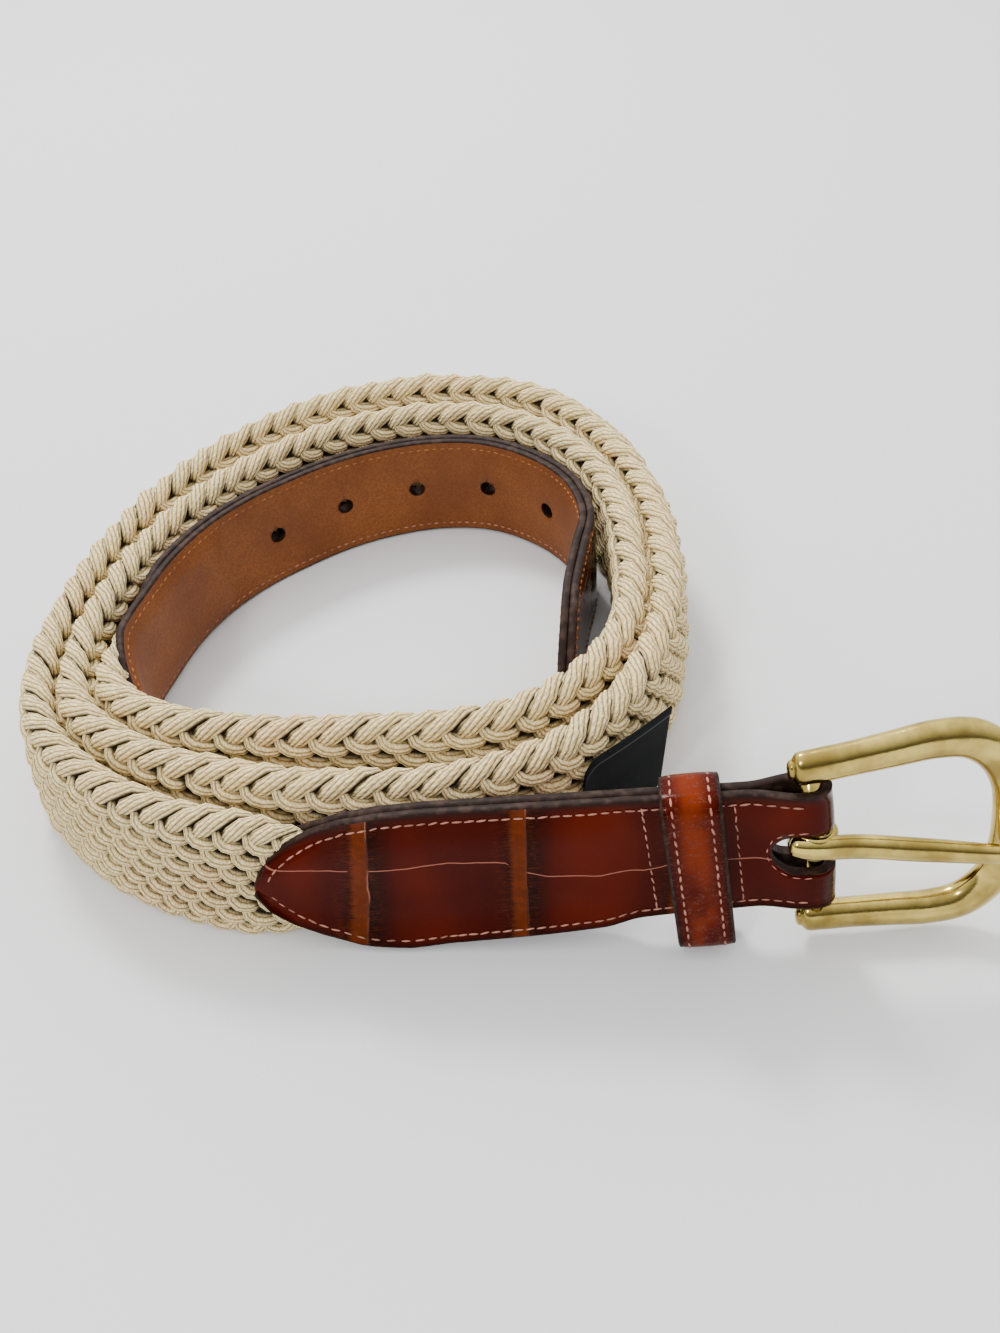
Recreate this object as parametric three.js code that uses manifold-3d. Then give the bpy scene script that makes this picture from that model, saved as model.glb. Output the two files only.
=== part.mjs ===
// A braided cord belt, coiled and standing on its edge: a woven band, a leather buckle
// tab folded round a solid brass buckle, a leather keeper loop, a two-ply leather tip with
// five prong holes, and a small woven label. Millimetres, +Z up. The buckle tab runs along
// the front of the coil and the buckle's toe points to +X.
import * as THREE from 'three';
import Module from 'manifold-3d';

const wasm = await Module();
wasm.setup();

// Clearances
const fitGap = 0.35;
const coverGap = 0.5;

// Woven band
const bandWidth = 32.5;
const bandThickness = 8;
const bandEdgeRoll = 5.6;
const bandEdgeShare = 0.94;
const bandTuckThickness = 2.1;
const bandTuckWidthShare = 0.84;
const bandTuckLength = 66;
const bandTuckTaper = 24;
const tabFlattenLead = 6.5;
const tipFlattenLead = 19;
const stationPitch = 7;

// Coil
const coilReach = 88.5;
const layerGap = 0.65;
const coilLean = 7.5;
const soleDepth = 0.45;

// Leather
const leatherThickness = 1.9;
const tabLength = 110;
const tabStraight = 90.5;
const tabFoldWidth = 30.4;
const tabFoldRaise = 1;
const tabOverhangAbove = 2.9;
const tabOverhangBelow = 0.3;
const foldLead = 12;
const foldTurnIn = 10.5;
const tabPlyPitch = 5;
const tipPlyPitch = 6;
const plyBevel = 0.5;
const coverHold = 0.8;
const coverLead = 9;
const pointLength = 26.5;
const tabYaw = 6.5;
const tabRise = 6.4;
const tabLean = 6.5;
const tabPostCount = 6;
const slotEndRoom = 3.65;
const slotSideRoom = 1.55;
const tipLength = 235;
const tipWidth = 30.6;
const liningLead = 27;
const holeDiameter = 4.3;
const holePitch = 22.2;
const firstHoleFromEnd = 81;
const holeCount = 5;

// Keeper
const keeperLength = 11.6;
const keeperThickness = 1.7;
const keeperFrontRoom = 2.8;
const keeperSpareAbove = 0.9;
const keeperSpareBelow = 5.2;
const keeperFromBar = 22.4;
const keeperRound = 1.2;
const keeperBevel = 0.4;

// Buckle
const barRadius = 1.8;
const frameLength = 38;
const frameRoom = 7.3;
const frameBarShare = 0.86;
const armWidth = 7.8;
const armThickness = 5.3;
const prongWidth = 6;
const prongThickness = 3.8;
const prongTipWidth = 4;
const frameSwing = 5;
const prongSkew = 12;
const prongRootHeight = 2.35;
const prongLoopWall = 1.8;
const prongLoopWidth = 5.6;

// Label
const labelLength = 28;
const labelHeight = 19;
const labelTop = 6;
const labelThickness = 0.7;
const labelTurn = 319.5;

// Coil outline, clockwise from the front in twelve equal steps. reach is a share of
// coilReach, spread the spacing of the turns as a share of one layer, lean a share of
// coilLean by which the band's foot stands out from its top edge.
const coilRows = [
  { reach: 1.0, spread: 1.88, lean: 0.9 },
  { reach: 0.98, spread: 1.49, lean: 0.95 },
  { reach: 1.005, spread: 0.99, lean: 1.0 },
  { reach: 0.9, spread: 1.05, lean: 0.7 },
  { reach: 0.88, spread: 1.24, lean: 0.35 },
  { reach: 0.967, spread: 1.7, lean: 0.15 },
  { reach: 1.077, spread: 1.92, lean: 0.0 },
  { reach: 1.106, spread: 1.7, lean: 0.2 },
  { reach: 0.957, spread: 1.08, lean: 0.6 },
  { reach: 0.888, spread: 0.985, lean: 0.7 },
  { reach: 0.922, spread: 1.0, lean: 0.1 },
  { reach: 1.02, spread: 1.62, lean: 0.1 },
];
const coilFirstTurn = 30;
const coilLastTurn = 960;
const coilTurnStep = 15;

// Where the straight tab meets the coil, as shares of coilReach from the coil's middle.
const tabFoot = { side: -0.064, front: -0.96 };

// The tip leaves the coil inwards: inset is a share of coilReach taken from the spiral.
const tailRows = [
  { turn: 976, inset: 0.008 },
  { turn: 990, inset: 0.042 },
  { turn: 1006, inset: 0.075 },
  { turn: 1022, inset: 0.042 },
  { turn: 1034, inset: -0.055 },
];

// Pointed leather end: run is a share of pointLength, half a share of half the width.
const pointRows = [
  { run: 0, half: 0.08 },
  { run: 0.1, half: 0.34 },
  { run: 0.25, half: 0.55 },
  { run: 0.45, half: 0.74 },
  { run: 0.7, half: 0.91 },
  { run: 1, half: 1 },
];

// Stations where the tab's plies open out to the fold, as shares of foldLead.
const foldMarks = [1, 0.75, 0.5, 0.29, 0.125];

// Half of the buckle frame's centre line, heel to toe, as shares of its length and height.
const frameRows = [
  { along: -0.085, up: 0.9, size: 0.55 },
  { along: -0.06, up: 0.9, size: 0.86 },
  { along: 0.02, up: 0.905, size: 0.95 },
  { along: 0.2, up: 0.93, size: 0.95 },
  { along: 0.4, up: 0.965, size: 1 },
  { along: 0.6, up: 1, size: 1.05 },
  { along: 0.77, up: 0.955, size: 1.08 },
  { along: 0.9, up: 0.76, size: 1.05 },
  { along: 0.98, up: 0.44, size: 0.98 },
  { along: 1, up: 0, size: 0.95 },
];

const material = (color, roughness, metalness) =>
  new THREE.MeshStandardMaterial({ color, roughness, metalness });
const cordCream = material(0xd9cda6, 0.85, 0);
const crocBrown = material(0x5a1d14, 0.3, 0);
const keeperBrown = material(0x7a2c1a, 0.3, 0);
const liningTan = material(0xa8612a, 0.6, 0);
const brass = material(0xb9a04a, 0.28, 1);
const labelBlack = material(0x1c1c1e, 0.8, 0);

const radians = THREE.MathUtils.degToRad;
const upward = new THREE.Vector3(0, 0, 1);

// The frame clears the folded tab, and the tab's slot clears the turned prong loop.
const frameHalfHeight = tabFoldWidth / 2 + frameRoom;
const prongLoopInner = barRadius + fitGap + (prongLoopWidth / 2) * Math.tan(radians(prongSkew));
const prongLoopOuter = prongLoopInner + prongLoopWall;
const slotLength = prongLoopOuter + slotEndRoom;
const slotHeight = prongLoopWidth * Math.cos(radians(prongSkew))
  + 2 * prongLoopOuter * Math.sin(radians(prongSkew)) + 2 * slotSideRoom;

// Route of the strap

function coilRow(turn) {
  const share = (turn / 360) % 1;
  const place = share * coilRows.length;
  const index = Math.floor(place);
  const row = (k) => coilRows[(index + k + coilRows.length) % coilRows.length];
  const blend = (name) => {
    const curve = new THREE.CatmullRomCurve3(
      [-1, 0, 1, 2].map((k) => new THREE.Vector3(row(k)[name], 0, 0)), false, 'catmullrom', 0.5);
    return curve.getPoint((1 + place - index) / 3).x;
  };
  return { reach: blend('reach'), spread: blend('spread'), lean: blend('lean') };
}

function coilPost(turn, inset = 0) {
  const row = coilRow(turn);
  const turns = turn / 360;
  const radius = coilReach * (row.reach - inset) - turns * row.spread * (bandThickness + layerGap);
  const angle = radians(-90 - turn);
  return {
    top: new THREE.Vector3(radius * Math.cos(angle), radius * Math.sin(angle), 0),
    lean: coilLean * row.lean * Math.max(0, 1 - turns / 2.5),
  };
}

function strapPosts() {
  const posts = [];
  const yaw = radians(tabYaw);
  const rise = radians(tabRise);
  const foot = new THREE.Vector3(tabFoot.side * coilReach, tabFoot.front * coilReach, 0);
  const toBuckle = new THREE.Vector3(
    Math.cos(rise) * Math.cos(yaw), -Math.cos(rise) * Math.sin(yaw), Math.sin(rise));
  for (let post = tabPostCount - 1; post >= 0; post -= 1) {
    const top = foot.clone().addScaledVector(toBuckle, (tabStraight * post) / (tabPostCount - 1));
    posts.push({ top, lean: tabLean });
  }
  for (let turn = coilFirstTurn; turn <= coilLastTurn; turn += coilTurnStep) {
    posts.push(coilPost(turn));
  }
  tailRows.forEach((row) => posts.push(coilPost(row.turn, row.inset)));
  return posts;
}

class Strap {
  constructor(posts) {
    this.topLine = new THREE.CatmullRomCurve3(posts.map((post) => post.top), false, 'centripetal');
    this.topLine.arcLengthDivisions = 2400;
    this.leans = posts.map((post) => post.lean);
    this.length = this.topLine.getLength();
  }

  lean(share) {
    const place = Math.min(share, 0.999999) * (this.leans.length - 1);
    const index = Math.floor(place);
    return THREE.MathUtils.lerp(this.leans[index], this.leans[index + 1], place - index);
  }

  // The strap's frame, run millimetres from the buckle bar: outward, upward and along.
  frame(run) {
    const inside = THREE.MathUtils.clamp(run, 0, this.length);
    const share = this.topLine.getUtoTmapping(0, inside);
    const along = this.topLine.getTangent(share);
    const lean = radians(this.lean(share));
    const level = new THREE.Vector3().crossVectors(upward, along).normalize();
    const rise = new THREE.Vector3().crossVectors(along, level);
    const up = rise.clone().multiplyScalar(Math.cos(lean)).addScaledVector(level, -Math.sin(lean));
    const out = level.multiplyScalar(Math.cos(lean)).addScaledVector(rise, Math.sin(lean));
    const middle = this.topLine.getPoint(share);
    middle.z += bandWidth * Math.cos(lean) - soleDepth;
    middle.addScaledVector(up, -bandWidth / 2).addScaledVector(along, run - inside);
    return { middle, out, up, along };
  }
}

const strap = new Strap(strapPosts());

// Meshes

// A closed body through rings of equal count, each a list of points that turns
// anticlockwise seen against the way the rings follow each other.
function ringBody(rings, flat) {
  const count = rings[0].length;
  const positions = rings.flat().flatMap((point) => [point.x, point.y, point.z]);
  const faces = [];
  for (let i = 0; i + 1 < rings.length; i += 1) {
    for (let j = 0; j < count; j += 1) {
      const next = (j + 1) % count;
      const [a, b] = [i * count + j, i * count + next];
      const [c, d] = [(i + 1) * count + next, (i + 1) * count + j];
      faces.push(a, b, c, a, c, d);
    }
  }
  const last = (rings.length - 1) * count;
  THREE.ShapeUtils.triangulateShape(flat, []).forEach(([a, b, c]) => {
    faces.push(a, c, b, last + a, last + b, last + c);
  });
  const geometry = new THREE.BufferGeometry();
  geometry.setAttribute('position', new THREE.Float32BufferAttribute(positions, 3));
  geometry.setIndex(faces);
  return geometry;
}

function toSolid(geometry) {
  return new wasm.Manifold(new wasm.Mesh({
    numProp: 3,
    vertProperties: Float32Array.from(geometry.attributes.position.array),
    triVerts: Uint32Array.from(geometry.index.array),
  }));
}

function toGeometry(solid) {
  const mesh = solid.getMesh();
  const geometry = new THREE.BufferGeometry();
  geometry.setAttribute('position', new THREE.Float32BufferAttribute(mesh.vertProperties, 3));
  geometry.setIndex(Array.from(mesh.triVerts));
  return geometry;
}

// Woven band

const bandStart = tabLength - bandTuckLength;
const tipStart = strap.length - tipLength;
const bandEnd = tipStart + bandTuckLength * 0.6;

function bandHalfThickness(run) {
  const fromTab = (tabLength + tabFlattenLead - run) / bandTuckTaper;
  const fromTip = (run - tipStart + tipFlattenLead) / bandTuckTaper;
  const flat = THREE.MathUtils.smoothstep(Math.max(fromTab, fromTip), 0, 1);
  return THREE.MathUtils.lerp(bandThickness, bandTuckThickness, flat) / 2;
}

function bandHalfWidth(run) {
  const tucked = bandHalfThickness(run) / (bandThickness / 2);
  const fullness = THREE.MathUtils.smoothstep(tucked, bandTuckThickness / bandThickness, 1);
  return (bandWidth / 2) * THREE.MathUtils.lerp(bandTuckWidthShare, 1, fullness);
}

// Outline of the band's section: flat faces with a slight crown, and rolled edges.
function bandSection(halfThickness, halfWidth) {
  const points = [];
  const rollSteps = 5;
  [1, -1].forEach((side) => {
    for (let step = 0; step <= rollSteps; step += 1) {
      const angle = (Math.PI * step) / rollSteps;
      points.push(new THREE.Vector2(
        side * halfThickness * bandEdgeShare * Math.cos(angle),
        side * (halfWidth - bandEdgeRoll + bandEdgeRoll * Math.sin(angle))));
    }
    points.push(new THREE.Vector2(-side * halfThickness, 0));
  });
  return points;
}

// The band's rings, worn flat where they stand on the table.
function bandRings(from, to) {
  const steps = Math.ceil((to - from) / stationPitch);
  const rings = [];
  for (let step = 0; step <= steps; step += 1) {
    const run = from + ((to - from) * step) / steps;
    const { middle, out, up } = strap.frame(run);
    const section = bandSection(bandHalfThickness(run), bandHalfWidth(run));
    rings.push(section.map((point) => {
      const place = middle.clone().addScaledVector(out, point.x).addScaledVector(up, point.y);
      place.z = Math.max(place.z, 0);
      return place;
    }));
  }
  return rings;
}

function wovenBand() {
  const flat = bandSection(bandThickness / 2, bandWidth / 2);
  return ringBody(bandRings(bandStart, bandEnd), flat);
}

// Leather

// A leather strip along a path of rows { run, across, raise, half }: across is measured
// outwards and raise upwards from the strap's middle, half is half of the strip's width.
function leatherStrip(path, thickness) {
  const section = (half) => [
    [-0.5, -half + plyBevel], [-0.2, -half], [0.2, -half], [0.5, -half + plyBevel],
    [0.5, half - plyBevel], [0.2, half], [-0.2, half], [-0.5, half - plyBevel],
  ].map(([x, y]) => new THREE.Vector2(x * thickness, y));
  const rings = path.map((row, index) => {
    const before = path[Math.max(index - 1, 0)];
    const after = path[Math.min(index + 1, path.length - 1)];
    const way = new THREE.Vector2(after.run - before.run, after.across - before.across).normalize();
    const { middle, out, up, along } = strap.frame(row.run);
    return section(row.half).map((point) => middle.clone()
      .addScaledVector(out, row.across + point.x * way.x)
      .addScaledVector(along, -point.x * way.y)
      .addScaledVector(up, row.raise + point.y));
  });
  return ringBody(rings, section(path[0].half));
}

// Half the width of a pointed end, depth millimetres in from its point.
function pointedHalf(depth, halfWidth) {
  const share = Math.min(depth / pointLength, 1);
  const next = Math.max(pointRows.findIndex((row) => row.run >= share), 1);
  const [from, to] = [pointRows[next - 1], pointRows[next]];
  return halfWidth * THREE.MathUtils.mapLinear(share, from.run, to.run, from.half, to.half);
}

const plyOffset = (leatherThickness + fitGap) / 2;

// How far a leather ply's middle stands off the strap's middle where it covers the band.
function coverOffset(run) {
  const overBand = bandHalfThickness(run) + coverGap + leatherThickness / 2;
  const fromBandEnd = Math.max(bandStart - run, run - bandEnd);
  const closed = THREE.MathUtils.smoothstep(fromBandEnd, coverHold, coverLead);
  return THREE.MathUtils.lerp(overBand, plyOffset, closed);
}

const foldRadius = barRadius + fitGap + leatherThickness / 2;

function tabHalfWidth(run) {
  const atPoint = bandWidth + tabOverhangAbove + tabOverhangBelow;
  return THREE.MathUtils.mapLinear(run, 0, tabLength, tabFoldWidth, atPoint) / 2;
}

// How far the tab's middle lies above the strap's.
function tabRaise(run) {
  const atPoint = (tabOverhangAbove - tabOverhangBelow) / 2;
  return THREE.MathUtils.mapLinear(run, 0, tabLength, tabFoldRaise, atPoint);
}

function tabSide(side) {
  const path = [];
  const marks = pointRows.map((row) => tabLength - row.run * pointLength);
  let straight = marks[marks.length - 1] - tabPlyPitch;
  for (; straight > foldLead * foldMarks[0]; straight -= tabPlyPitch) marks.push(straight);
  marks.push(...foldMarks.map((share) => share * foldLead));
  marks.forEach((run) => {
    const nearBar = THREE.MathUtils.smoothstep(foldLead - run, 0, foldTurnIn);
    path.push({
      run,
      across: side * THREE.MathUtils.lerp(coverOffset(run), foldRadius, nearBar),
      raise: tabRaise(run),
      half: pointedHalf(tabLength - run, tabHalfWidth(run)),
    });
  });
  return path;
}

function buckleTab() {
  const fold = [];
  const foldSteps = 8;
  for (let step = 0; step <= foldSteps; step += 1) {
    const angle = (Math.PI * step) / foldSteps;
    fold.push({
      run: -foldRadius * Math.sin(angle),
      across: foldRadius * Math.cos(angle),
      raise: tabFoldRaise,
      half: tabFoldWidth / 2,
    });
  }
  const path = [...tabSide(1), ...fold, ...tabSide(-1).reverse()];
  const leather = toSolid(leatherStrip(path, leatherThickness));
  const slot = toSolid(slotCutter());
  return toGeometry(leather.subtract(slot));
}

// The prong's slot, an oblong through both plies that runs out over the fold.
function slotCutter() {
  const outline = new THREE.Shape();
  const half = slotHeight / 2;
  outline.moveTo(foldRadius * 2, prongRootHeight / 2 - half);
  outline.lineTo(foldRadius * 2, prongRootHeight / 2 + half);
  outline.lineTo(-slotLength + half, prongRootHeight / 2 + half);
  outline.absarc(-slotLength + half, prongRootHeight / 2, half, Math.PI / 2, Math.PI * 1.5, false);
  outline.closePath();
  const depth = foldRadius * 4;
  const cutter = new THREE.ExtrudeGeometry(outline, { depth, bevelEnabled: false, curveSegments: 4 });
  cutter.translate(0, 0, -depth / 2);
  cutter.rotateX(Math.PI / 2);
  cutter.applyMatrix4(tabMatrix());
  return weld(cutter);
}

// The tip's two plies, lining inside and grained leather outside, with the prong holes.
function tipPly(side) {
  const start = side > 0 ? tipStart : tipStart - liningLead;
  const marks = pointRows.map((row) => start + row.run * pointLength);
  const tail = pointRows.map((row) => strap.length - row.run * pointLength).reverse();
  const middleMarks = [];
  const firstMark = marks[marks.length - 1] + tipPlyPitch / 2;
  for (let run = tail[0] - tipPlyPitch; run > firstMark; run -= tipPlyPitch) middleMarks.unshift(run);
  marks.push(...middleMarks);
  const path = [...marks, ...tail].map((run) => ({
    run,
    across: side * coverOffset(run),
    raise: 0,
    half: Math.min(
      pointedHalf(run - start, tipWidth / 2), pointedHalf(strap.length - run, tipWidth / 2)),
  }));
  let ply = toSolid(leatherStrip(path, leatherThickness));
  for (let hole = 0; hole < holeCount; hole += 1) {
    ply = ply.subtract(toSolid(holeCutter(strap.length - firstHoleFromEnd - hole * holePitch)));
  }
  return toGeometry(ply);
}

function holeCutter(run) {
  const cutter = new THREE.CylinderGeometry(
    holeDiameter / 2, holeDiameter / 2, leatherThickness * 4, 12);
  const { middle, out, up, along } = strap.frame(run);
  cutter.applyMatrix4(new THREE.Matrix4().makeBasis(along, out, up).setPosition(middle));
  return weld(cutter);
}

function weld(geometry) {
  const source = geometry.index ? geometry.toNonIndexed() : geometry;
  const position = source.attributes.position;
  const places = new Map();
  const vertices = [];
  const faces = [];
  for (let i = 0; i < position.count; i += 1) {
    const point = [position.getX(i), position.getY(i), position.getZ(i)];
    const key = point.map((value) => Math.round(value * 1e4)).join(' ');
    if (!places.has(key)) {
      places.set(key, vertices.length / 3);
      vertices.push(...point);
    }
    faces.push(places.get(key));
  }
  const kept = [];
  for (let i = 0; i < faces.length; i += 3) {
    const [a, b, c] = faces.slice(i, i + 3);
    if (a !== b && b !== c && c !== a) kept.push(a, b, c);
  }
  const welded = new THREE.BufferGeometry();
  welded.setAttribute('position', new THREE.Float32BufferAttribute(vertices, 3));
  welded.setIndex(kept);
  return welded;
}

// The tab's own frame: origin on the buckle bar, +X to the toe, +Z up the tab's width.
function tabMatrix() {
  const { middle, out, up, along } = strap.frame(0);
  return new THREE.Matrix4().makeBasis(
    along.clone().negate(), out.clone().negate(), up).setPosition(middle);
}

// Keeper

function keeperLoop() {
  const back = plyOffset + leatherThickness / 2 + fitGap;
  const front = back + keeperFrontRoom;
  const halfTab = tabHalfWidth(keeperFromBar);
  const raise = tabRaise(keeperFromBar);
  const [top, bottom] = [raise + halfTab + keeperSpareAbove, raise - halfTab - keeperSpareBelow];
  const loop = (grow, round, Kind) => {
    const shape = new Kind();
    const [x0, x1, y0, y1] = [-front - grow, back + grow, bottom - grow, top + grow];
    shape.moveTo(x0 + round, y0);
    shape.lineTo(x1 - round, y0);
    shape.absarc(x1 - round, y0 + round, round, -Math.PI / 2, 0, false);
    shape.lineTo(x1, y1 - round);
    shape.absarc(x1 - round, y1 - round, round, 0, Math.PI / 2, false);
    shape.lineTo(x0 + round, y1);
    shape.absarc(x0 + round, y1 - round, round, Math.PI / 2, Math.PI, false);
    shape.lineTo(x0, y0 + round);
    shape.absarc(x0 + round, y0 + round, round, Math.PI, Math.PI * 1.5, false);
    return shape;
  };
  const shape = loop(keeperThickness, keeperRound + keeperThickness, THREE.Shape);
  shape.holes.push(loop(0, keeperRound, THREE.Path));
  const geometry = new THREE.ExtrudeGeometry(shape, {
    depth: keeperLength - 2 * keeperBevel,
    bevelEnabled: true,
    bevelSize: keeperBevel,
    bevelThickness: keeperBevel,
    bevelOffset: -keeperBevel,
    bevelSegments: 1,
    curveSegments: 4,
  });
  geometry.translate(0, 0, -keeperLength / 2 + keeperBevel);
  geometry.applyMatrix4(new THREE.Matrix4().makeBasis(
    new THREE.Vector3(0, 1, 0), new THREE.Vector3(0, 0, 1), new THREE.Vector3(1, 0, 0)));
  geometry.translate(-keeperFromBar, 0, 0);
  return geometry;
}

// Buckle

// A body of elliptical rings along centres { x, y, z, wide, thick } in the tab's X-Z plane.
function rodBody(centres, sides) {
  const rings = centres.map((centre, index) => {
    const before = centres[Math.max(index - 1, 0)];
    const after = centres[Math.min(index + 1, centres.length - 1)];
    const way = new THREE.Vector3(
      after.x - before.x, after.y - before.y, after.z - before.z).normalize();
    const across = new THREE.Vector3().crossVectors(way, new THREE.Vector3(0, 1, 0)).normalize();
    const deep = new THREE.Vector3().crossVectors(way, across);
    return Array.from({ length: sides }, (_, side) => {
      const angle = (2 * Math.PI * side) / sides;
      return new THREE.Vector3(centre.x, centre.y, centre.z)
        .addScaledVector(across, (Math.cos(angle) * centre.wide) / 2)
        .addScaledVector(deep, (Math.sin(angle) * centre.thick) / 2);
    });
  });
  const flat = rings[0].map((_, side) => new THREE.Vector2(
    Math.cos((2 * Math.PI * side) / sides), Math.sin((2 * Math.PI * side) / sides)));
  return ringBody(rings, flat);
}

function frameCentre(share) {
  const half = frameRows.map((row) => new THREE.Vector3(
    row.along * frameLength, row.up * frameHalfHeight, row.size));
  const mirrored = half.slice(0, -1).reverse().map((point) => new THREE.Vector3(point.x, -point.y, point.z));
  const line = new THREE.CatmullRomCurve3([...half, ...mirrored], false, 'centripetal');
  return line.getPoint(share);
}

function buckleFrame() {
  const steps = 56;
  const centres = Array.from({ length: steps + 1 }, (_, step) => {
    const point = frameCentre(step / steps);
    return {
      x: point.x, y: 0, z: point.y, wide: armWidth * point.z, thick: armThickness * point.z,
    };
  });
  const loop = toSolid(rodBody(centres, 12));
  const barHalf = frameHalfHeight * frameBarShare;
  const bar = toSolid(rodBody([-barHalf, barHalf].map((z) => ({
    x: 0, y: 0, z, wide: barRadius * 2, thick: barRadius * 2,
  })), 12));
  return toGeometry(loop.add(bar));
}

function prong() {
  const half = prongLoopWidth / 2;
  const loop = new THREE.LatheGeometry([
    [prongLoopInner, -half], [prongLoopOuter, -half], [prongLoopOuter, half],
    [prongLoopInner, half], [prongLoopInner, -half],
  ].map(([x, y]) => new THREE.Vector2(x, y)), 20);
  loop.rotateX(Math.PI / 2);
  const reach = frameLength + armWidth * 0.3;
  const restDepth = (armThickness * 0.95 + prongThickness) / 2 + fitGap;
  const rows = [
    { along: prongLoopInner + prongLoopWall / 3, depth: 0.2, size: 0.9 },
    { along: prongLoopOuter + prongWidth / 3, depth: 0.45, size: 1 },
    { along: reach * 0.45, depth: 0.72, size: 0.97 },
    { along: reach * 0.72, depth: 0.92, size: 0.85 },
    { along: reach * 0.88, depth: 1, size: 0.76 },
    { along: reach - prongTipWidth * 0.3, depth: 1, size: 0.68 },
    { along: reach, depth: 0.94, size: 0.4 },
  ];
  const rod = toSolid(rodBody(rows.map((row) => ({
    x: row.along,
    y: -restDepth * row.depth,
    z: 0,
    wide: Math.max(prongWidth * row.size, row.along > reach * 0.8 ? 0 : prongTipWidth),
    thick: prongThickness * row.size,
  })), 12));
  const joined = toGeometry(rod.add(toSolid(weld(loop))));
  joined.rotateY(radians(prongSkew));
  joined.translate(0, 0, prongRootHeight);
  return joined;
}

// Label

// A flat patch that follows the band's outer face, its top edge below the rolled edge.
function wovenLabel() {
  const middleRun = runAtTurn(labelTurn);
  const inner = bandThickness / 2 + coverGap;
  const outer = inner + labelThickness;
  const [top, bottom] = [labelTop, labelTop - labelHeight];
  const flat = [[outer, bottom], [outer, 0], [outer, top], [inner, top], [inner, 0], [inner, bottom]]
    .map(([x, y]) => new THREE.Vector2(x, y));
  const steps = 6;
  const rings = Array.from({ length: steps + 1 }, (_, step) => {
    const { middle, out, up } = strap.frame(middleRun + labelLength * (step / steps - 0.5));
    return flat.map((point) =>
      middle.clone().addScaledVector(out, point.x).addScaledVector(up, point.y));
  });
  return ringBody(rings, flat);
}

// Distance along the strap at which it has gone the given turn round the coil.
function runAtTurn(turn) {
  const share = (tabPostCount + (turn - coilFirstTurn) / coilTurnStep) / (strap.leans.length - 1);
  const lengths = strap.topLine.getLengths();
  return lengths[Math.round(share * (lengths.length - 1))];
}

// Assembly

function named(name, geometry, look) {
  const mesh = new THREE.Mesh(geometry, look);
  mesh.name = name;
  return mesh;
}

const tabGroup = new THREE.Group();
tabMatrix().decompose(tabGroup.position, tabGroup.quaternion, tabGroup.scale);
tabGroup.add(named('keeper', keeperLoop(), keeperBrown));

// The buckle swings on its bar, and lies turned a little back from the tab.
const buckleGroup = new THREE.Group();
buckleGroup.rotation.z = radians(frameSwing);
buckleGroup.add(named('buckle_frame', buckleFrame(), brass));
buckleGroup.add(named('prong', prong(), brass));
tabGroup.add(buckleGroup);

const belt = new THREE.Group();
belt.add(named('braid_strap', wovenBand(), cordCream));
belt.add(named('buckle_tab', buckleTab(), crocBrown));
belt.add(named('tip_outer', tipPly(1), crocBrown));
belt.add(named('tip_lining', tipPly(-1), liningTan));
belt.add(named('label', wovenLabel(), labelBlack));
belt.add(tabGroup);

// The origin is the middle of the belt's footprint, on the surface it stands on.
belt.updateMatrixWorld(true);
const box = new THREE.Box3().setFromObject(belt, true);
belt.position.set(-(box.min.x + box.max.x) / 2, -(box.min.y + box.max.y) / 2, -box.min.z);

const root = new THREE.Group();
root.add(belt);

export default root;
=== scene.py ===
"""A braided cord belt, coiled on its edge, dressed around its fixed CAD frame.

The strap's route, the leather's plies and the buckle are worked out again here from the same
driving sizes as the CAD, in millimetres, and every mesh is laid in the row frame in metres.
"""

import logging
import math
from dataclasses import dataclass, field
from enum import Enum
from functools import partial
from typing import Any, Callable, NamedTuple, Sequence

import bmesh
import bpy
import numpy as np
from mathutils import Matrix, Vector

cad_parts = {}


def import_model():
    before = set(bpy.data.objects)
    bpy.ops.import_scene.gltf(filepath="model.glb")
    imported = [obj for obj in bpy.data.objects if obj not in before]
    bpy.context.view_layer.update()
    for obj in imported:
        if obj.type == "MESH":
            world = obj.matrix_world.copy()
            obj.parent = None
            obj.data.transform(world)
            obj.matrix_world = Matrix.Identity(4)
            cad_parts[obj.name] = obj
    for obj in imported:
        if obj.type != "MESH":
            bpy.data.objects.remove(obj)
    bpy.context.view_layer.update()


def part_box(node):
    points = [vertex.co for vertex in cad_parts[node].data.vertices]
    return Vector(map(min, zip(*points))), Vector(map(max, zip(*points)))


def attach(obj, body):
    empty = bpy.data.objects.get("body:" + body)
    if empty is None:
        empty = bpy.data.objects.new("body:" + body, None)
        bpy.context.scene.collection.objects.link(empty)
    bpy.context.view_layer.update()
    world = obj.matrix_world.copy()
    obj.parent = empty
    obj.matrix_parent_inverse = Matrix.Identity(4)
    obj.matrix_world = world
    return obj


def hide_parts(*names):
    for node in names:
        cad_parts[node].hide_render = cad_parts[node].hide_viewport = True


log = logging.getLogger("belt")

Array = np.ndarray
Colour = tuple[float, float, float]
Spot = tuple[Array, Array, Array]
Mesh = bpy.types.Mesh
Material = bpy.types.Material
Piece = bpy.types.Object
Socket = bpy.types.NodeSocket
Work = bmesh.types.BMesh

# A millimetre in metres, and how near corners lie, in metres, that become one
MM = 0.001
WELD = 2e-6
# The place of the painted edges among a leather piece's finishes
PAINTED = 1


class Body(Enum):
    """The CAD bodies that pieces ride on."""

    STRAP = "strap"
    BUCKLE = "buckle"
    PRONG = "prong"


class Side(Enum):
    """Which way a ply or a face looks: away from the coil's middle, or towards it."""

    OUTER = 1
    INNER = -1


def rows_of(kind: type, *rows: tuple[float, ...]) -> tuple[Any, ...]:
    """A table's rows as one kind of named row."""
    return tuple(kind(*row) for row in rows)


class ValueRow(NamedTuple):
    """A value at a place along something."""

    place: float
    value: float


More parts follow.
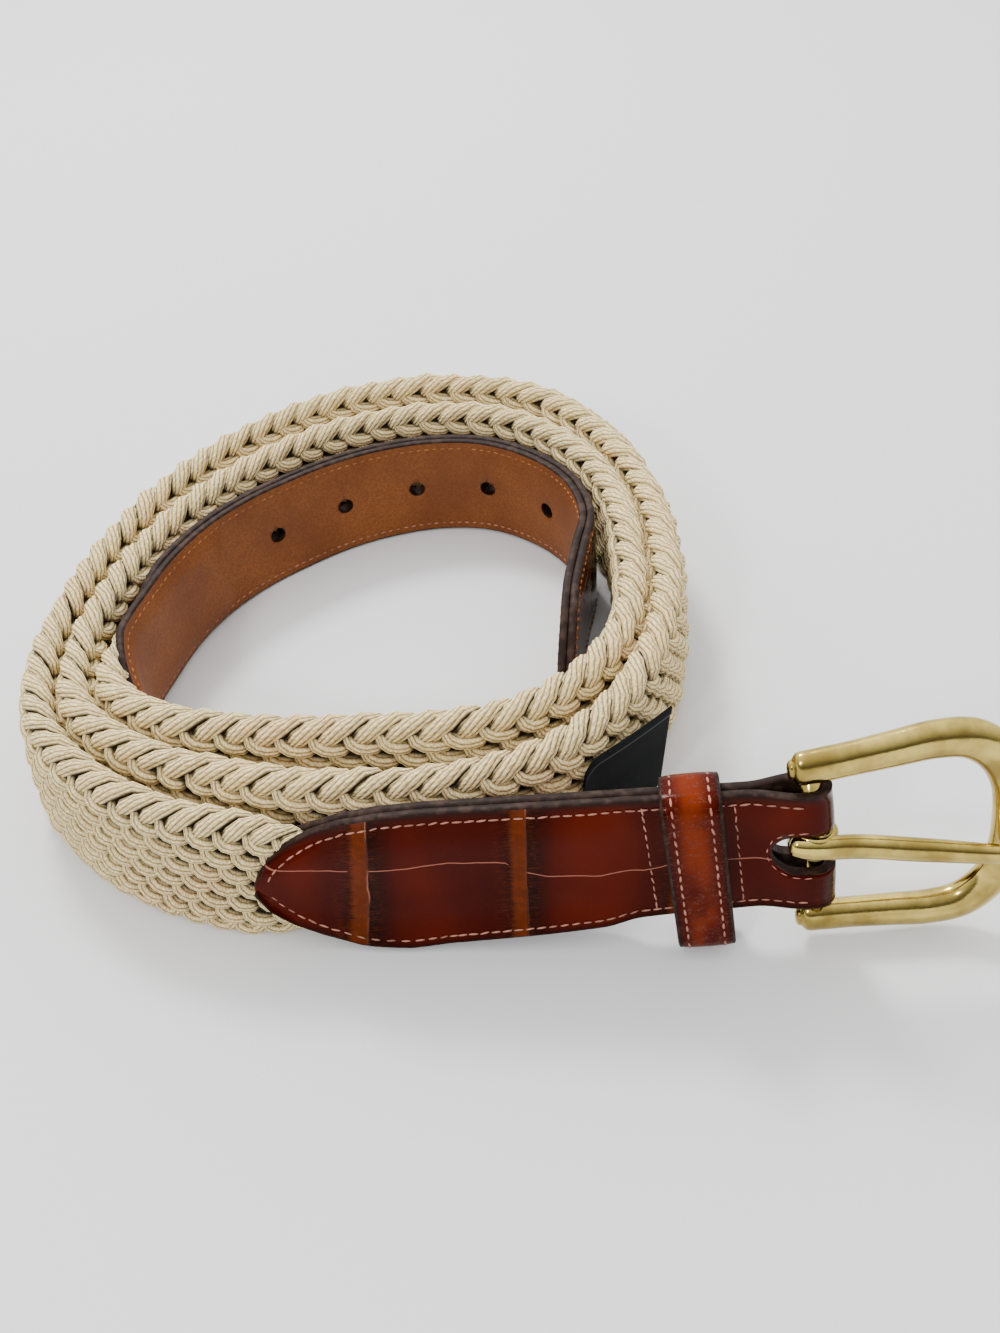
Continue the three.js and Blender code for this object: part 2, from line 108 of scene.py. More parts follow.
def looked_up(rows: Sequence[ValueRow], place: Array | float) -> Array | float:
    """The value at a place, read between a table's rows."""
    return np.interp(place, [row.place for row in rows], [row.value for row in rows])


# Route of the strap


class CoilRow(NamedTuple):
    """One of twelve equal steps round the coil, clockwise from the front.

    reach is a share of the coil's reach, spread the spacing of the turns as a share of one
    layer, lean a share of the coil's lean.
    """

    reach: float
    spread: float
    lean: float


class TailRow(NamedTuple):
    """A post of the tip where it leaves the coil: its turn, and its inset as a share of reach."""

    turn: float
    inset: float


COIL_ROWS = rows_of(
    CoilRow, (1.0, 1.88, 0.9), (0.98, 1.49, 0.95), (1.005, 0.99, 1.0), (0.9, 1.05, 0.7),
    (0.88, 1.24, 0.35), (0.967, 1.7, 0.15), (1.077, 1.92, 0.0), (1.106, 1.7, 0.2),
    (0.957, 1.08, 0.6), (0.888, 0.985, 0.7), (0.922, 1.0, 0.1), (1.02, 1.62, 0.1))
TAIL_ROWS = rows_of(
    TailRow, (976, 0.008), (990, 0.042), (1006, 0.075), (1022, 0.042), (1034, -0.055))


def smoothstep(value: Array | float, low: float, high: float) -> Array | float:
    """Goes smoothly from 0 at low to 1 at high."""
    share = np.clip((value - low) / (high - low), 0.0, 1.0)
    return share * share * (3.0 - 2.0 * share)


def mixed(start: Array | float, end: Array | float, share: Array | float) -> Array | float:
    """Goes straight from start at share 0 to end at share 1."""
    return start + (end - start) * share


def hermite(start: Array, end: Array, leave: Array, arrive: Array, share: Array | float) -> Array:
    """Goes from start at share 0 to end at share 1.

    Args:
        start: Where it starts.
        end: Where it ends.
        leave: Its slope at the start.
        arrive: Its slope at the end.
        share: How far it has gone.

    Returns:
        The place at that share.
    """
    square = share * share
    cubic = 2 * start - 2 * end + leave + arrive
    bend = -3 * start + 3 * end - 2 * leave - arrive
    return start + leave * share + bend * square + cubic * square * share


def walk(points: Array) -> Array:
    """How far a walk along a line of points has come at each of them."""
    return np.concatenate([[0.0], np.cumsum(np.linalg.norm(np.diff(points, axis=0), axis=1))])


def centripetal(points: Array, place: Array) -> Array:
    """Points on an open centripetal Catmull-Rom curve.

    Args:
        points: The curve's posts, one row each.
        place: Places on the curve, from 0 at the first post to 1 at the last.

    Returns:
        One row per place.
    """
    count = len(points)
    scaled = np.clip(place, 0.0, 1.0) * (count - 1)
    index = np.minimum(np.floor(scaled).astype(int), count - 2)
    weight = (scaled - index)[:, None]
    posts = np.vstack([2 * points[0] - points[1], points, 2 * points[-1] - points[-2]])
    p0, p1, p2, p3 = (posts[index + k] for k in range(4))
    pairs = ((p0, p1), (p1, p2), (p2, p3))
    d0, d1, d2 = (np.sqrt(np.linalg.norm(b - a, axis=1))[:, None] for a, b in pairs)
    leave = ((p1 - p0) / d0 - (p2 - p0) / (d0 + d1) + (p2 - p1) / d1) * d1
    arrive = ((p2 - p1) / d1 - (p3 - p1) / (d1 + d2) + (p3 - p2) / d2) * d1
    return hermite(p1, p2, leave, arrive, weight)


@dataclass
class StrapRoute:
    """The middle line of the strap and its frame, run millimetres from the buckle's bar."""

    band_width: float = 32.5
    band_thickness: float = 8.0
    coil_reach: float = 88.5
    layer_gap: float = 0.65
    coil_lean: float = 7.5
    sole_depth: float = 0.45
    tab_straight: float = 90.5
    tab_yaw: float = 6.5
    tab_rise: float = 6.4
    tab_lean: float = 6.5
    tab_foot: tuple[float, float] = (-0.064, -0.96)
    tab_posts: int = 6
    first_turn: int = 30
    last_turn: int = 960
    turn_step: int = 15
    upright_turn: float = 2.5
    divisions: int = 2400
    nudge: float = 0.0001
    table_step: float = 0.5
    table_lead: float = 20.0
    table_tail: float = 5.0
    offset: Array = field(default_factory=lambda: np.zeros(3))

    def __post_init__(self) -> None:
        """Works out the top line and a fine table of frames along it."""
        tops, leans = self._posts()
        self.posts = np.array(tops)
        self.leans = np.array(leans)
        self.places = np.linspace(0.0, 1.0, self.divisions + 1)
        self.lengths = walk(centripetal(self.posts, self.places))
        self.length = float(self.lengths[-1])
        self.runs = np.arange(-self.table_lead, self.length + self.table_tail, self.table_step)
        self.table = self._frames(self.runs)

    def _row(self, turn: float) -> CoilRow:
        """The coil's row at a turn, blended between the twelve steps.

        Args:
            turn: Degrees round the coil, clockwise from the front.

        Returns:
            The blended row.
        """
        place = (turn / 360 % 1) * len(COIL_ROWS)
        index = int(place)
        near = np.array([COIL_ROWS[(index + k) % len(COIL_ROWS)] for k in (-1, 0, 1, 2)])
        leave, arrive = (near[2] - near[0]) / 2, (near[3] - near[1]) / 2
        return CoilRow(*hermite(near[1], near[2], leave, arrive, place - index))

    def _post(self, turn: float, inset: float = 0.0) -> tuple[list[float], float]:
        """The top of the strap and its lean at a turn of the coil.

        Args:
            turn: Degrees round the coil.
            inset: How far it lies in, as a share of reach.

        Returns:
            The post and its lean in degrees.
        """
        row = self._row(turn)
        turns = turn / 360
        layer = self.band_thickness + self.layer_gap
        radius = self.coil_reach * (row.reach - inset) - turns * row.spread * layer
        angle = math.radians(-90 - turn)
        lean = self.coil_lean * row.lean * max(0.0, 1 - turns / self.upright_turn)
        return [radius * math.cos(angle), radius * math.sin(angle), 0.0], lean

    def _posts(self) -> tuple[list[list[float]], list[float]]:
        """The strap's posts, from the buckle's bar along the tab and round the coil.

        Returns:
            The posts and their leans.
        """
        yaw, rise = math.radians(self.tab_yaw), math.radians(self.tab_rise)
        foot = np.array([share * self.coil_reach for share in self.tab_foot] + [0.0])
        way = np.array([math.cos(rise) * math.cos(yaw), -math.cos(rise) * math.sin(yaw), math.sin(rise)])
        last = self.tab_posts - 1
        tops = [list(foot + way * self.tab_straight * post / last) for post in range(last, -1, -1)]
        leans = [self.tab_lean] * self.tab_posts
        turns = [(turn, 0.0) for turn in range(self.first_turn, self.last_turn + 1, self.turn_step)]
        for turn, inset in [*turns, *TAIL_ROWS]:
            top, lean = self._post(turn, inset)
            tops.append(top)
            leans.append(lean)
        return tops, leans

    def _frames(self, runs: Array) -> dict[str, Array]:
        """Middle, outward, upward and along vectors at the given runs, worked out exactly.

        Args:
            runs: Distances along the strap.

        Returns:
            One row per run under each name.
        """
        inside = np.clip(runs, 0.0, self.length)
        place = np.interp(inside, self.lengths, self.places)
        ahead = centripetal(self.posts, np.minimum(place + self.nudge, 1.0))
        behind = centripetal(self.posts, np.maximum(place - self.nudge, 0.0))
        along = ahead - behind
        along /= np.linalg.norm(along, axis=1)[:, None]
        count = len(self.leans)
        lean = np.radians(np.interp(place * (count - 1), np.arange(count), self.leans))[:, None]
        level = np.cross([0.0, 0.0, 1.0], along)
        level /= np.linalg.norm(level, axis=1)[:, None]
        rise = np.cross(along, level)
        up = rise * np.cos(lean) - level * np.sin(lean)
        out = level * np.cos(lean) + rise * np.sin(lean)
        middle = centripetal(self.posts, place)
        middle[:, 2] += (self.band_width * np.cos(lean) - self.sole_depth)[:, 0]
        middle += up * (-self.band_width / 2) + along * (runs - inside)[:, None]
        return {"middle": middle, "out": out, "up": up, "along": along}

    def frames(self, runs: Array) -> dict[str, Array]:
        """Frames at any runs, read from the table, with the coil in its place in the row frame.

        Args:
            runs: Distances along the strap.

        Returns:
            One row per run under each name.
        """
        frames = {}
        for name, rows in self.table.items():
            columns = [np.interp(runs, self.runs, rows[:, axis]) for axis in range(3)]
            frames[name] = np.stack(columns, axis=-1)
        frames["middle"] = frames["middle"] + self.offset
        return frames

    def exact(self, run: float) -> dict[str, Array]:
        """The frame at one run."""
        frames = self._frames(np.array([run]))
        frames["middle"] = frames["middle"] + self.offset
        return {name: rows[0] for name, rows in frames.items()}

    def turn_run(self, turn: float) -> float:
        """How far along the strap it has gone the given turn round the coil."""
        share = (self.tab_posts + (turn - self.first_turn) / self.turn_step) / (len(self.leans) - 1)
        return float(np.interp(share, self.places, self.lengths))


@dataclass
class Band:
    """The woven band's section along the strap, and points on and above its surface."""

    route: StrapRoute
    edge_roll: float = 5.6
    edge_share: float = 0.94
    tuck_thickness: float = 2.1
    tuck_width_share: float = 0.84
    tuck_length: float = 66.0
    tuck_taper: float = 24.0
    tab_length: float = 110.0
    tip_length: float = 235.0
    tab_flatten_lead: float = 6.5
    tip_flatten_lead: float = 19.0
    tip_tuck_share: float = 0.6
    station_pitch: float = 7.0
    face_steps: int = 41
    arc_steps: int = 61
    rim_steps: int = 5

    def __post_init__(self) -> None:
        """Works out where the band starts and ends, and its outline."""
        self.start = self.tab_length - self.tuck_length
        self.tip_start = self.route.length - self.tip_length
        self.end = self.tip_start + self.tuck_length * self.tip_tuck_share
        self._outline()

    def half_thickness(self, runs: Array | float) -> Array | float:
        """Half the band's thickness at the given runs."""
        from_tab = (self.tab_length + self.tab_flatten_lead - runs) / self.tuck_taper
        from_tip = (runs - self.tip_start + self.tip_flatten_lead) / self.tuck_taper
        flat = smoothstep(np.maximum(from_tab, from_tip), 0.0, 1.0)
        return mixed(self.route.band_thickness, self.tuck_thickness, flat) / 2

    def fullness(self, runs: Array | float) -> Array | float:
        """The band's thickness at the given runs, as a share of its full thickness."""
        return self.half_thickness(runs) / (self.route.band_thickness / 2)

    def width_share(self, runs: Array | float) -> Array | float:
        """The band's width at the given runs, as a share of its full width."""
        tucked = self.tuck_thickness / self.route.band_thickness
        return mixed(self.tuck_width_share, 1.0, smoothstep(self.fullness(runs), tucked, 1.0))

    def _outline(self) -> None:
        """The section's outline from the outer face's middle, up over the top edge and round."""
        half, flat = self.route.band_thickness / 2, self.route.band_width / 2 - self.edge_roll
        face = np.linspace(-1.0, 1.0, self.face_steps)
        arc = np.linspace(0.0, math.pi, self.arc_steps)
        crown = half * (1 - (1 - self.edge_share) * face**2)
        edge_x = half * self.edge_share * np.cos(arc)
        edge_y = flat + self.edge_roll * np.sin(arc)
        middle = len(face) // 2
        x = [crown[middle:], edge_x[1:], -crown[1:], -edge_x[1:], crown[1 : middle + 1]]
        y = [face[middle:] * flat, edge_y[1:], -face[1:] * flat, -edge_y[1:], face[1 : middle + 1] * flat]
        points = np.stack([np.concatenate(x), np.concatenate(y)], axis=1)
        self.outline_q = walk(points)
        self.girth = float(self.outline_q[-1])
        self.outline = points
        slope = np.gradient(points, axis=0)
        normal = np.stack([slope[:, 1], -slope[:, 0]], axis=1)
        self.normal = normal / np.linalg.norm(normal, axis=1)[:, None]
        self.crest = float(self.outline_q[middle + len(arc) // 2])

    def surface(self, runs: Array, q: Array, lift: Array) -> Array:
        """Points above the band's outline.

        Args:
            runs: Distance along the strap.
            q: Distance round the section, from the outer face's middle upwards.
            lift: Height above the outline, less where the band is tucked flat.

        Returns:
            One row per point, in millimetres in the row frame.
        """
        q = np.mod(q, self.girth)
        x, y = (np.interp(q, self.outline_q, self.outline[:, axis]) for axis in (0, 1))
        nx, ny = (np.interp(q, self.outline_q, self.normal[:, axis]) for axis in (0, 1))
        thin = self.fullness(runs)
        narrow = self.width_share(runs)
        frames = self.route.frames(runs)
        across = (x * thin + nx * lift * thin)[..., None]
        height = (y * narrow + ny * lift * thin)[..., None]
        return frames["middle"] + frames["out"] * across + frames["up"] * height

    def settle(self, box: tuple[Vector, Vector]) -> None:
        """Moves the route so that the band's solid fills the CAD node's box.

        Args:
            box: The node's lowest and highest corners, in metres.
        """
        steps = math.ceil((self.end - self.start) / self.station_pitch)
        runs = np.linspace(self.start, self.end, steps + 1)
        half = self.route.band_thickness / 2 * self.edge_share
        flat = self.route.band_width / 2 - self.edge_roll
        angles = np.arange(self.rim_steps + 1) * math.pi / self.rim_steps
        rim = [(s * half * np.cos(angles), s * (flat + self.edge_roll * np.sin(angles))) for s in (1, -1)]
        x = np.concatenate([part[0] for part in rim] + [[half / self.edge_share, -half / self.edge_share]])
        y = np.concatenate([part[1] for part in rim] + [[0.0, 0.0]])
        frames = self.route.frames(runs)
        thin = self.fullness(runs)[:, None, None]
        narrow = self.width_share(runs)[:, None, None]
        points = frames["middle"][:, None] + frames["out"][:, None] * (x[None, :, None] * thin)
        points = points + frames["up"][:, None] * (y[None, :, None] * narrow)
        points = points.reshape(-1, 3)
        own = (points.min(axis=0) + points.max(axis=0)) / 2
        given = (np.array(box[0]) + np.array(box[1])) / 2 / MM
        self.route.offset = np.array([given[0] - own[0], given[1] - own[1], 0.0])


# Meshes


class Patch(NamedTuple):
    """A grid laid out by rows and columns: its positions, its UVs and its attributes."""

    points: Array
    uv: Array | None = None
    attributes: dict[str, Array] | None = None


def mesh_of(name: str, work: Work) -> Mesh:
    """Ends the work on a mesh, frees it and gives the mesh."""
    mesh = bpy.data.meshes.new(name)
    work.to_mesh(mesh)
    work.free()
    return mesh


def grid_mesh(name: str, patch: Patch, gaps: int = 0) -> Mesh:
    """A mesh made from a flat grid whose vertices are laid where the patch says.

    Args:
        name: The mesh's name.
        patch: Points as rows along by columns across, in millimetres, and what goes with them.
        gaps: Rows per separate piece, or 0 for one piece. Faces between pieces are left out.

    Returns:
        The mesh, in metres.
    """
    rows, columns = patch.points.shape[:2]
    work = bmesh.new()
    bmesh.ops.create_grid(work, x_segments=rows - 1, y_segments=columns - 1, size=1.0)
    if gaps:
        work.faces.ensure_lookup_table()
        bridges = [f for f in work.faces if min(v.index for v in f.verts) % rows % gaps == gaps - 1]
        bmesh.ops.delete(work, geom=bridges, context="FACES_ONLY")
        loose = [edge for edge in work.edges if not edge.link_faces]
        bmesh.ops.delete(work, geom=loose, context="EDGES")
    mesh = mesh_of(name, work)
    index = np.arange(rows * columns)
    row, column = index % rows, index // rows
    mesh.vertices.foreach_set("co", (patch.points[row, column] * MM).astype(np.float32).ravel())
    corners = np.empty(len(mesh.loops), dtype=np.int32)
    mesh.loops.foreach_get("vertex_index", corners)
    if patch.uv is not None:
        layer = mesh.uv_layers.new(name="UVMap")
        layer.data.foreach_set("uv", patch.uv[row, column][corners].astype(np.float32).ravel())
    for title, values in (patch.attributes or {}).items():
        attribute = mesh.attributes.new(title, "FLOAT", "POINT")
        attribute.data.foreach_set("value", values[row, column].astype(np.float32).ravel())
    mesh.update()
    return mesh


def reworked(mesh: Mesh, work_on: Callable[[Work], None]) -> Mesh:
    """Runs mesh operators on a mesh and puts the result back in it.

    Args:
        mesh: The mesh.
        work_on: What is done to it.

    Returns:
        The same mesh.
    """
    work = bmesh.new()
    work.from_mesh(mesh)
    work_on(work)
    work.to_mesh(mesh)
    work.free()
    return mesh


def close_up(work: Work) -> None:
    """Joins a swept ring's seam, closes its ends and points its faces outwards.

    Args:
        work: The mesh that is worked on.
    """
    bmesh.ops.remove_doubles(work, verts=work.verts[:], dist=WELD)
    rims = [edge for edge in work.edges if edge.is_boundary]
    if rims:
        bmesh.ops.holes_fill(work, edges=rims, sides=0)
    bmesh.ops.recalc_face_normals(work, faces=work.faces[:])


def smooth(mesh: Mesh) -> Mesh:
    """Shades a mesh smooth."""
    mesh.polygons.foreach_set("use_smooth", [True] * len(mesh.polygons))
    return mesh


def piece(name: str, mesh: Mesh, finishes: Sequence[Material]) -> Piece:
    """An object at the origin with its finishes in order.

    Args:
        name: Its name.
        mesh: Its mesh.
        finishes: Its finishes.

    Returns:
        The object.
    """
    thing = bpy.data.objects.new(name, mesh)
    for finish in finishes:
        mesh.materials.append(finish)
    bpy.context.scene.collection.objects.link(thing)
    return thing


def joined(name: str, meshes: Sequence[Mesh]) -> Mesh:
    """One mesh that holds all the given ones."""
    work = bmesh.new()
    for mesh in meshes:
        work.from_mesh(mesh)
    return mesh_of(name, work)


def cutter(name: str, work: Work) -> Piece:
    """A closed cutter, whose cut leaves painted faces."""
    bmesh.ops.recalc_face_normals(work, faces=work.faces[:])
    for face in work.faces:
        face.material_index = PAINTED
    return piece(name, mesh_of(name, work), [])


def cut(thing: Piece, tool: Piece) -> None:
    """Cuts one closed piece out of another, and keeps the result as plain mesh.

    Args:
        thing: The piece that is cut.
        tool: What is cut out of it. It is removed.
    """
    step = thing.modifiers.new("cut", "BOOLEAN")
    step.operation = "DIFFERENCE"
    step.solver = "EXACT"
    step.object = tool
    bpy.context.view_layer.update()
    seen = thing.evaluated_get(bpy.context.evaluated_depsgraph_get())
    mesh = bpy.data.meshes.new_from_object(seen)
    thing.modifiers.clear()
    mesh.name = thing.data.name
    thing.data = mesh
    bpy.data.objects.remove(tool)


def placed(origin: Array, x: Array, y: Array, z: Array) -> Matrix:
    """A matrix in metres that carries its three axes to the given ones, lengths in millimetres.

    Args:
        origin: Where its origin goes.
        x: Its first axis.
        y: Its second axis.
        z: Its third axis.

    Returns:
        The matrix.
    """
    rows = np.eye(4)
    rows[:3, 0], rows[:3, 1], rows[:3, 2], rows[:3, 3] = x * MM, y * MM, z * MM, origin * MM
    return Matrix(rows.tolist())


# Finishes


class Shader:
    """A material's node tree, with a short call for each kind of node that is used."""

    def __init__(self, name: str, roughness: float, specular: float = 0.5, metallic: float = 0.0) -> None:
        """Starts a material whose surface is one Principled shader.

        Args:
            name: The material's name.
            roughness: How dull its surface is.
            specular: How strongly it mirrors, 0.5 being common.
            metallic: 1 for a metal.
        """
        self.material = bpy.data.materials.new(name)
        self.material.use_nodes = True
        self.tree = self.material.node_tree
        self.surface = self.tree.nodes["Principled BSDF"]
        values = {"Roughness": roughness, "Specular IOR Level": specular, "Metallic": metallic}
        for title, value in values.items():
            self.surface.inputs[title].default_value = value

    def node(self, kind: str, inputs: dict[Any, Any] | None = None, **settings: Any) -> bpy.types.Node:
        """Adds a node.

        Args:
            kind: The node's type.
            inputs: Values or sockets by input name or number.
            settings: The node's own properties.

        Returns:
            The node.
        """
        node = self.tree.nodes.new(kind)
        for name, value in settings.items():
            setattr(node, name, value)
        for name, value in (inputs or {}).items():
            if isinstance(value, Socket):
                self.tree.links.new(value, node.inputs[name])
            elif value is not None:
                node.inputs[name].default_value = value
        return node

    def math(self, operation: str, a: Any, b: Any = None, c: Any = None) -> Socket:
        """A Math node's result."""
        return self.node("ShaderNodeMath", {0: a, 1: b, 2: c}, operation=operation).outputs[0]

    def times(self, a: Any, b: Any) -> Socket:
        """The product of two numbers."""
        return self.math("MULTIPLY", a, b)

    def scaled(self, value: Any, factor: Any, offset: Any) -> Socket:
        """A number times a factor, moved by an offset."""
        return self.math("MULTIPLY_ADD", value, factor, offset)

    def apart(self, a: Any, b: Any) -> Socket:
        """How far two numbers lie apart."""
        return self.math("ABSOLUTE", self.math("SUBTRACT", a, b))

    def off_centre(self, share: Any) -> Socket:
        """How far a share lies from a half, as 0 to 1."""
        return self.math("ABSOLUTE", self.scaled(share, 2.0, -1.0))

    def rest(self, share: Any) -> Socket:
        """What a share leaves of one."""
        return self.math("SUBTRACT", 1.0, share)

    def attribute(self, name: str) -> Socket:
        """A float attribute of the piece."""
        return self.node("ShaderNodeAttribute", attribute_name=name).outputs["Fac"]

    def uv(self) -> tuple[Socket, Socket]:
        """The piece's own UV map as two numbers."""
        layer = self.node("ShaderNodeUVMap", uv_map="UVMap")
        split = self.node("ShaderNodeSeparateXYZ", {0: layer.outputs[0]})
        return split.outputs[0], split.outputs[1]

    def vector(self, x: Any, y: Any, z: Any = 0.0) -> Socket:
        """Three numbers as one vector."""
        return self.node("ShaderNodeCombineXYZ", {0: x, 1: y, 2: z}).outputs[0]

    def place(self) -> Socket:
        """Object coordinates, in metres."""
        return self.node("ShaderNodeTexCoord").outputs["Object"]

    def noise(self, scale: float, detail: float = 2.0, where: Socket | None = None) -> Socket:
        """Soft noise from 0 to 1, over the object's own coordinates if nothing else is given."""
        settings = {"Vector": where or self.place(), "Scale": scale, "Detail": detail}
        return self.node("ShaderNodeTexNoise", settings).outputs["Fac"]

    def cells(self, scale: float) -> Socket:
        """Distance to the nearest cell's middle."""
        settings = {"Vector": self.place(), "Scale": scale}
        return self.node("ShaderNodeTexVoronoi", settings).outputs["Distance"]

    def span(self, value: Any, low: float, high: float, to_low: float = 0.0, to_high: float = 1.0) -> Any:
        """A number carried smoothly from one span to another."""
        inputs = {0: value, 1: low, 2: high, 3: to_low, 4: to_high}
        return self.node("ShaderNodeMapRange", inputs, interpolation_type="SMOOTHSTEP").outputs[0]

    def mix(self, share: Any, start: Any, end: Any) -> Socket:
        """Two colours mixed."""
        inputs = {0: share, 6: self.colour(start), 7: self.colour(end)}
        return self.node("ShaderNodeMix", inputs, data_type="RGBA").outputs[2]

    @staticmethod
    def colour(value: Any) -> Any:
        """A plain colour with its alpha, or the socket as it is."""
        return (*value, 1.0) if isinstance(value, tuple) else value

    def paint(self, colour: Any) -> None:
        """Gives the surface its colour."""
        if isinstance(colour, tuple):
            self.surface.inputs["Base Color"].default_value = (*colour, 1.0)
        else:
            self.tree.links.new(colour, self.surface.inputs["Base Color"])

    def roughen(self, roughness: Socket) -> None:
        """Gives the surface a roughness that varies."""
        self.tree.links.new(roughness, self.surface.inputs["Roughness"])

    def bump(self, *layers: tuple[Socket, float]) -> None:
        """Raises the surface by heights from 0 to 1, each with its own depth in millimetres."""
        normal = None
        for height, depth in layers:
            inputs = {"Height": height, "Distance": depth * MM, "Strength": 1.0, "Normal": normal}
            normal = self.node("ShaderNodeBump", inputs).outputs[0]
        self.tree.links.new(normal, self.surface.inputs["Normal"])


@dataclass(frozen=True)
class CordFinish:
    """Cream cotton cords, with a painted highlight on their crowns and painted shade down between them,
    along each strand's sides and ends, and where they lie deep.
    """

    name: str = "cotton cords"
    # pale is the painted highlight on the cords' crowns; shade is the painted shade between and under them,
    # which also darkens their tone and grain a little
    pale: Colour = (1.0, 0.83, 0.47)
    cream: Colour = (0.72, 0.52, 0.23)
    peach: Colour = (0.76, 0.44, 0.19)
    shade: Colour = (0.012, 0.007, 0.003)
    cords: int = 5
    ribs: float = 13.0
    roughness: float = 0.85
    specular: float = 0.12
    crown_depth: float = 0.22
    rib_depth: float = 0.10

    def build(self) -> Material:
        """The cords' material.

        Returns:
            The material.
        """
        shader = Shader(self.name, self.roughness, self.specular)
        along, across = shader.uv()
        lane = shader.math("FRACT", shader.times(across, float(self.cords)))
        off_centre = shader.off_centre(lane)
        crown = shader.rest(shader.times(off_centre, off_centre))
        wave = shader.scaled(along, self.ribs, lane)
        rib = shader.times(shader.math("PINGPONG", wave, 0.5), 2.0)
        depth = shader.attribute("depth")
        tone = shader.attribute("tone")
        patches = shader.noise(38.0, 1.0)
        body = shader.mix(shader.span(patches, 0.5, 0.72, 0.0, 0.55), self.cream, self.peach)
        body = shader.mix(shader.times(tone, 0.12), body, self.shade)
        # Painted highlight on each cord's crown and ribs
        lit = shader.times(shader.span(crown, 0.35, 1.0), shader.span(rib, 0.1, 0.9, 0.45, 1.0))
        body = shader.mix(lit, body, self.pale)
        yarn = shader.span(shader.noise(1500.0, 2.0), 0.4, 0.62, 0.3, 0.0)
        body = shader.mix(yarn, body, self.shade)
        # Painted shade down between the cords, where the strands lie deep, and along each strand's sides
        # and ends
        valley_shade = shader.span(crown, 0.0, 0.45, 0.66, 0.0)
        body = shader.mix(valley_shade, body, self.shade)
        body = shader.mix(shader.span(depth, 0.15, 0.75, 0.95, 0.0), body, self.shade)
        side = shader.off_centre(across)
        end = shader.off_centre(along)
        outline = shader.math(
            "MAXIMUM", shader.span(side, 0.72, 0.96, 0.0, 0.95), shader.span(end, 0.6, 1.0, 0.0, 0.9))
        shader.paint(shader.mix(outline, body, self.shade))
        shader.bump((crown, self.crown_depth), (rib, self.rib_depth))
        return shader.material


@dataclass(frozen=True)
class CrocFinish:
    """Glazed leather embossed with large scales: lighter bands between them and pale creases, with each
    scale painted lighter in its middle and darker towards its sides, and painted shade on one side of each
    band.
    """

    name: str
    dark: Colour = (0.0045, 0.0003, 0.0002)
    body: Colour = (0.028, 0.0010, 0.0004)
    painted_highlight: Colour = (0.088, 0.0062, 0.0009)
    band: Colour = (0.105, 0.018, 0.0026)
    crease: Colour = (0.36, 0.12, 0.08)
    tint: tuple[float, float, float, float] = (1.0, 0.26, 0.14, 1.0)
    roughness: float = 0.18
    specular: float = 0.08
    coat: float = 0.04
    coat_roughness: float = 0.06
    spacing: float = 32.0
    first: float = 26.3
    shear: float = 0.15
    emboss: float = 0.25
    pebbles: float = 1300.0
    pebble_depth: float = 0.015

    def start(self) -> tuple[Shader, Any, Any]:
        """The parts that every croc leather shares.

        Returns:
            The shader, its run along the strap and its height, both in millimetres.
        """
        shader = Shader(self.name, self.roughness, self.specular)
        shader.surface.inputs["Specular Tint"].default_value = self.tint
        shader.surface.inputs["Coat Weight"].default_value = self.coat
        shader.surface.inputs["Coat Roughness"].default_value = self.coat_roughness
        height = shader.scaled(shader.uv()[1], 100.0, -50.0)
        return shader, shader.attribute("run"), height

    def build(self) -> Material:
        """The leather's material.

        Returns:
            The material.
        """
        shader, run, height = self.start()
        lean = shader.scaled(height, self.shear, run)
        from_first = shader.math("SUBTRACT", lean, self.first)
        band = shader.math("WRAP", from_first, self.spacing / 2, -self.spacing / 2)
        strokes = shader.vector(shader.times(run, 0.11), shader.times(height, 1.5))
        streaks = shader.noise(2.2, 3.0, strokes)
        ragged = shader.scaled(streaks, 2.4, -1.2)
        away = shader.math("ABSOLUTE", band)
        # Painted light and shade on each scale: lighter in its middle, darker towards the bands, and
        # painted shade on one side of each band
        cloud = shader.noise(62.0, 1.0)
        middle = shader.span(away, 2.0, 13.0)
        light = shader.times(middle, shader.span(cloud, 0.25, 0.75, 0.15, 0.75))
        colour = shader.mix(shader.span(away, 1.5, 4.0, 0.5, 1.0), self.dark, self.body)
        colour = shader.mix(light, colour, self.painted_highlight)
        shaded = shader.times(shader.span(band, -7.5, -2.4), shader.span(band, -1.0, 1.0, 0.9, 0.0))
        colour = shader.mix(shaded, colour, self.dark)
        rim = shader.attribute("rim")
        colour = shader.mix(shader.span(rim, 0.0, 2.6, 0.85, 0.0), colour, self.dark)
        fine = shader.apart(streaks, 0.5)
        near = shader.span(away, 2.2, 6.5, 1.0, 0.0)
        scratch = shader.times(shader.span(fine, 0.0, 0.035, 1.0, 0.0), near)
        colour = shader.mix(shader.times(scratch, 0.55), colour, self.band)
        left = shader.math("ADD", band, ragged)
        on_band = shader.times(shader.span(left, 0.6, 2.0, 1.0, 0.0), shader.span(band, -1.9, -1.6))
        mottle = shader.span(shader.noise(620.0, 3.0), 0.38, 0.66, 0.72, 1.0)
        colour = shader.mix(shader.times(on_band, mottle), colour, self.band)
        wander = shader.scaled(shader.noise(150.0), 0.9, -0.45)
        line = shader.math("ABSOLUTE", shader.math("ADD", shader.attribute("crease"), wander))
        creased = shader.times(shader.span(line, 0.06, 0.24, 1.0, 0.0), shader.span(away, 1.6, 2.2))
        side = shader.math("ABSOLUTE", shader.math("ADD", shader.math("ADD", band, wander), 1.85))
        patchy = shader.span(shader.noise(95.0, 1.0), 0.42, 0.6, 0.1, 0.8)
        side_line = shader.times(shader.span(side, 0.05, 0.22, 1.0, 0.0), patchy)
        pale = shader.math("MAXIMUM", creased, side_line)
        shader.paint(shader.mix(pale, colour, self.crease))
        sunk = shader.math("MAXIMUM", pale, shader.times(on_band, 0.7))
        pebble = shader.cells(self.pebbles)
        shader.bump((shader.rest(sunk), self.emboss), (pebble, self.pebble_depth))
        return shader.material


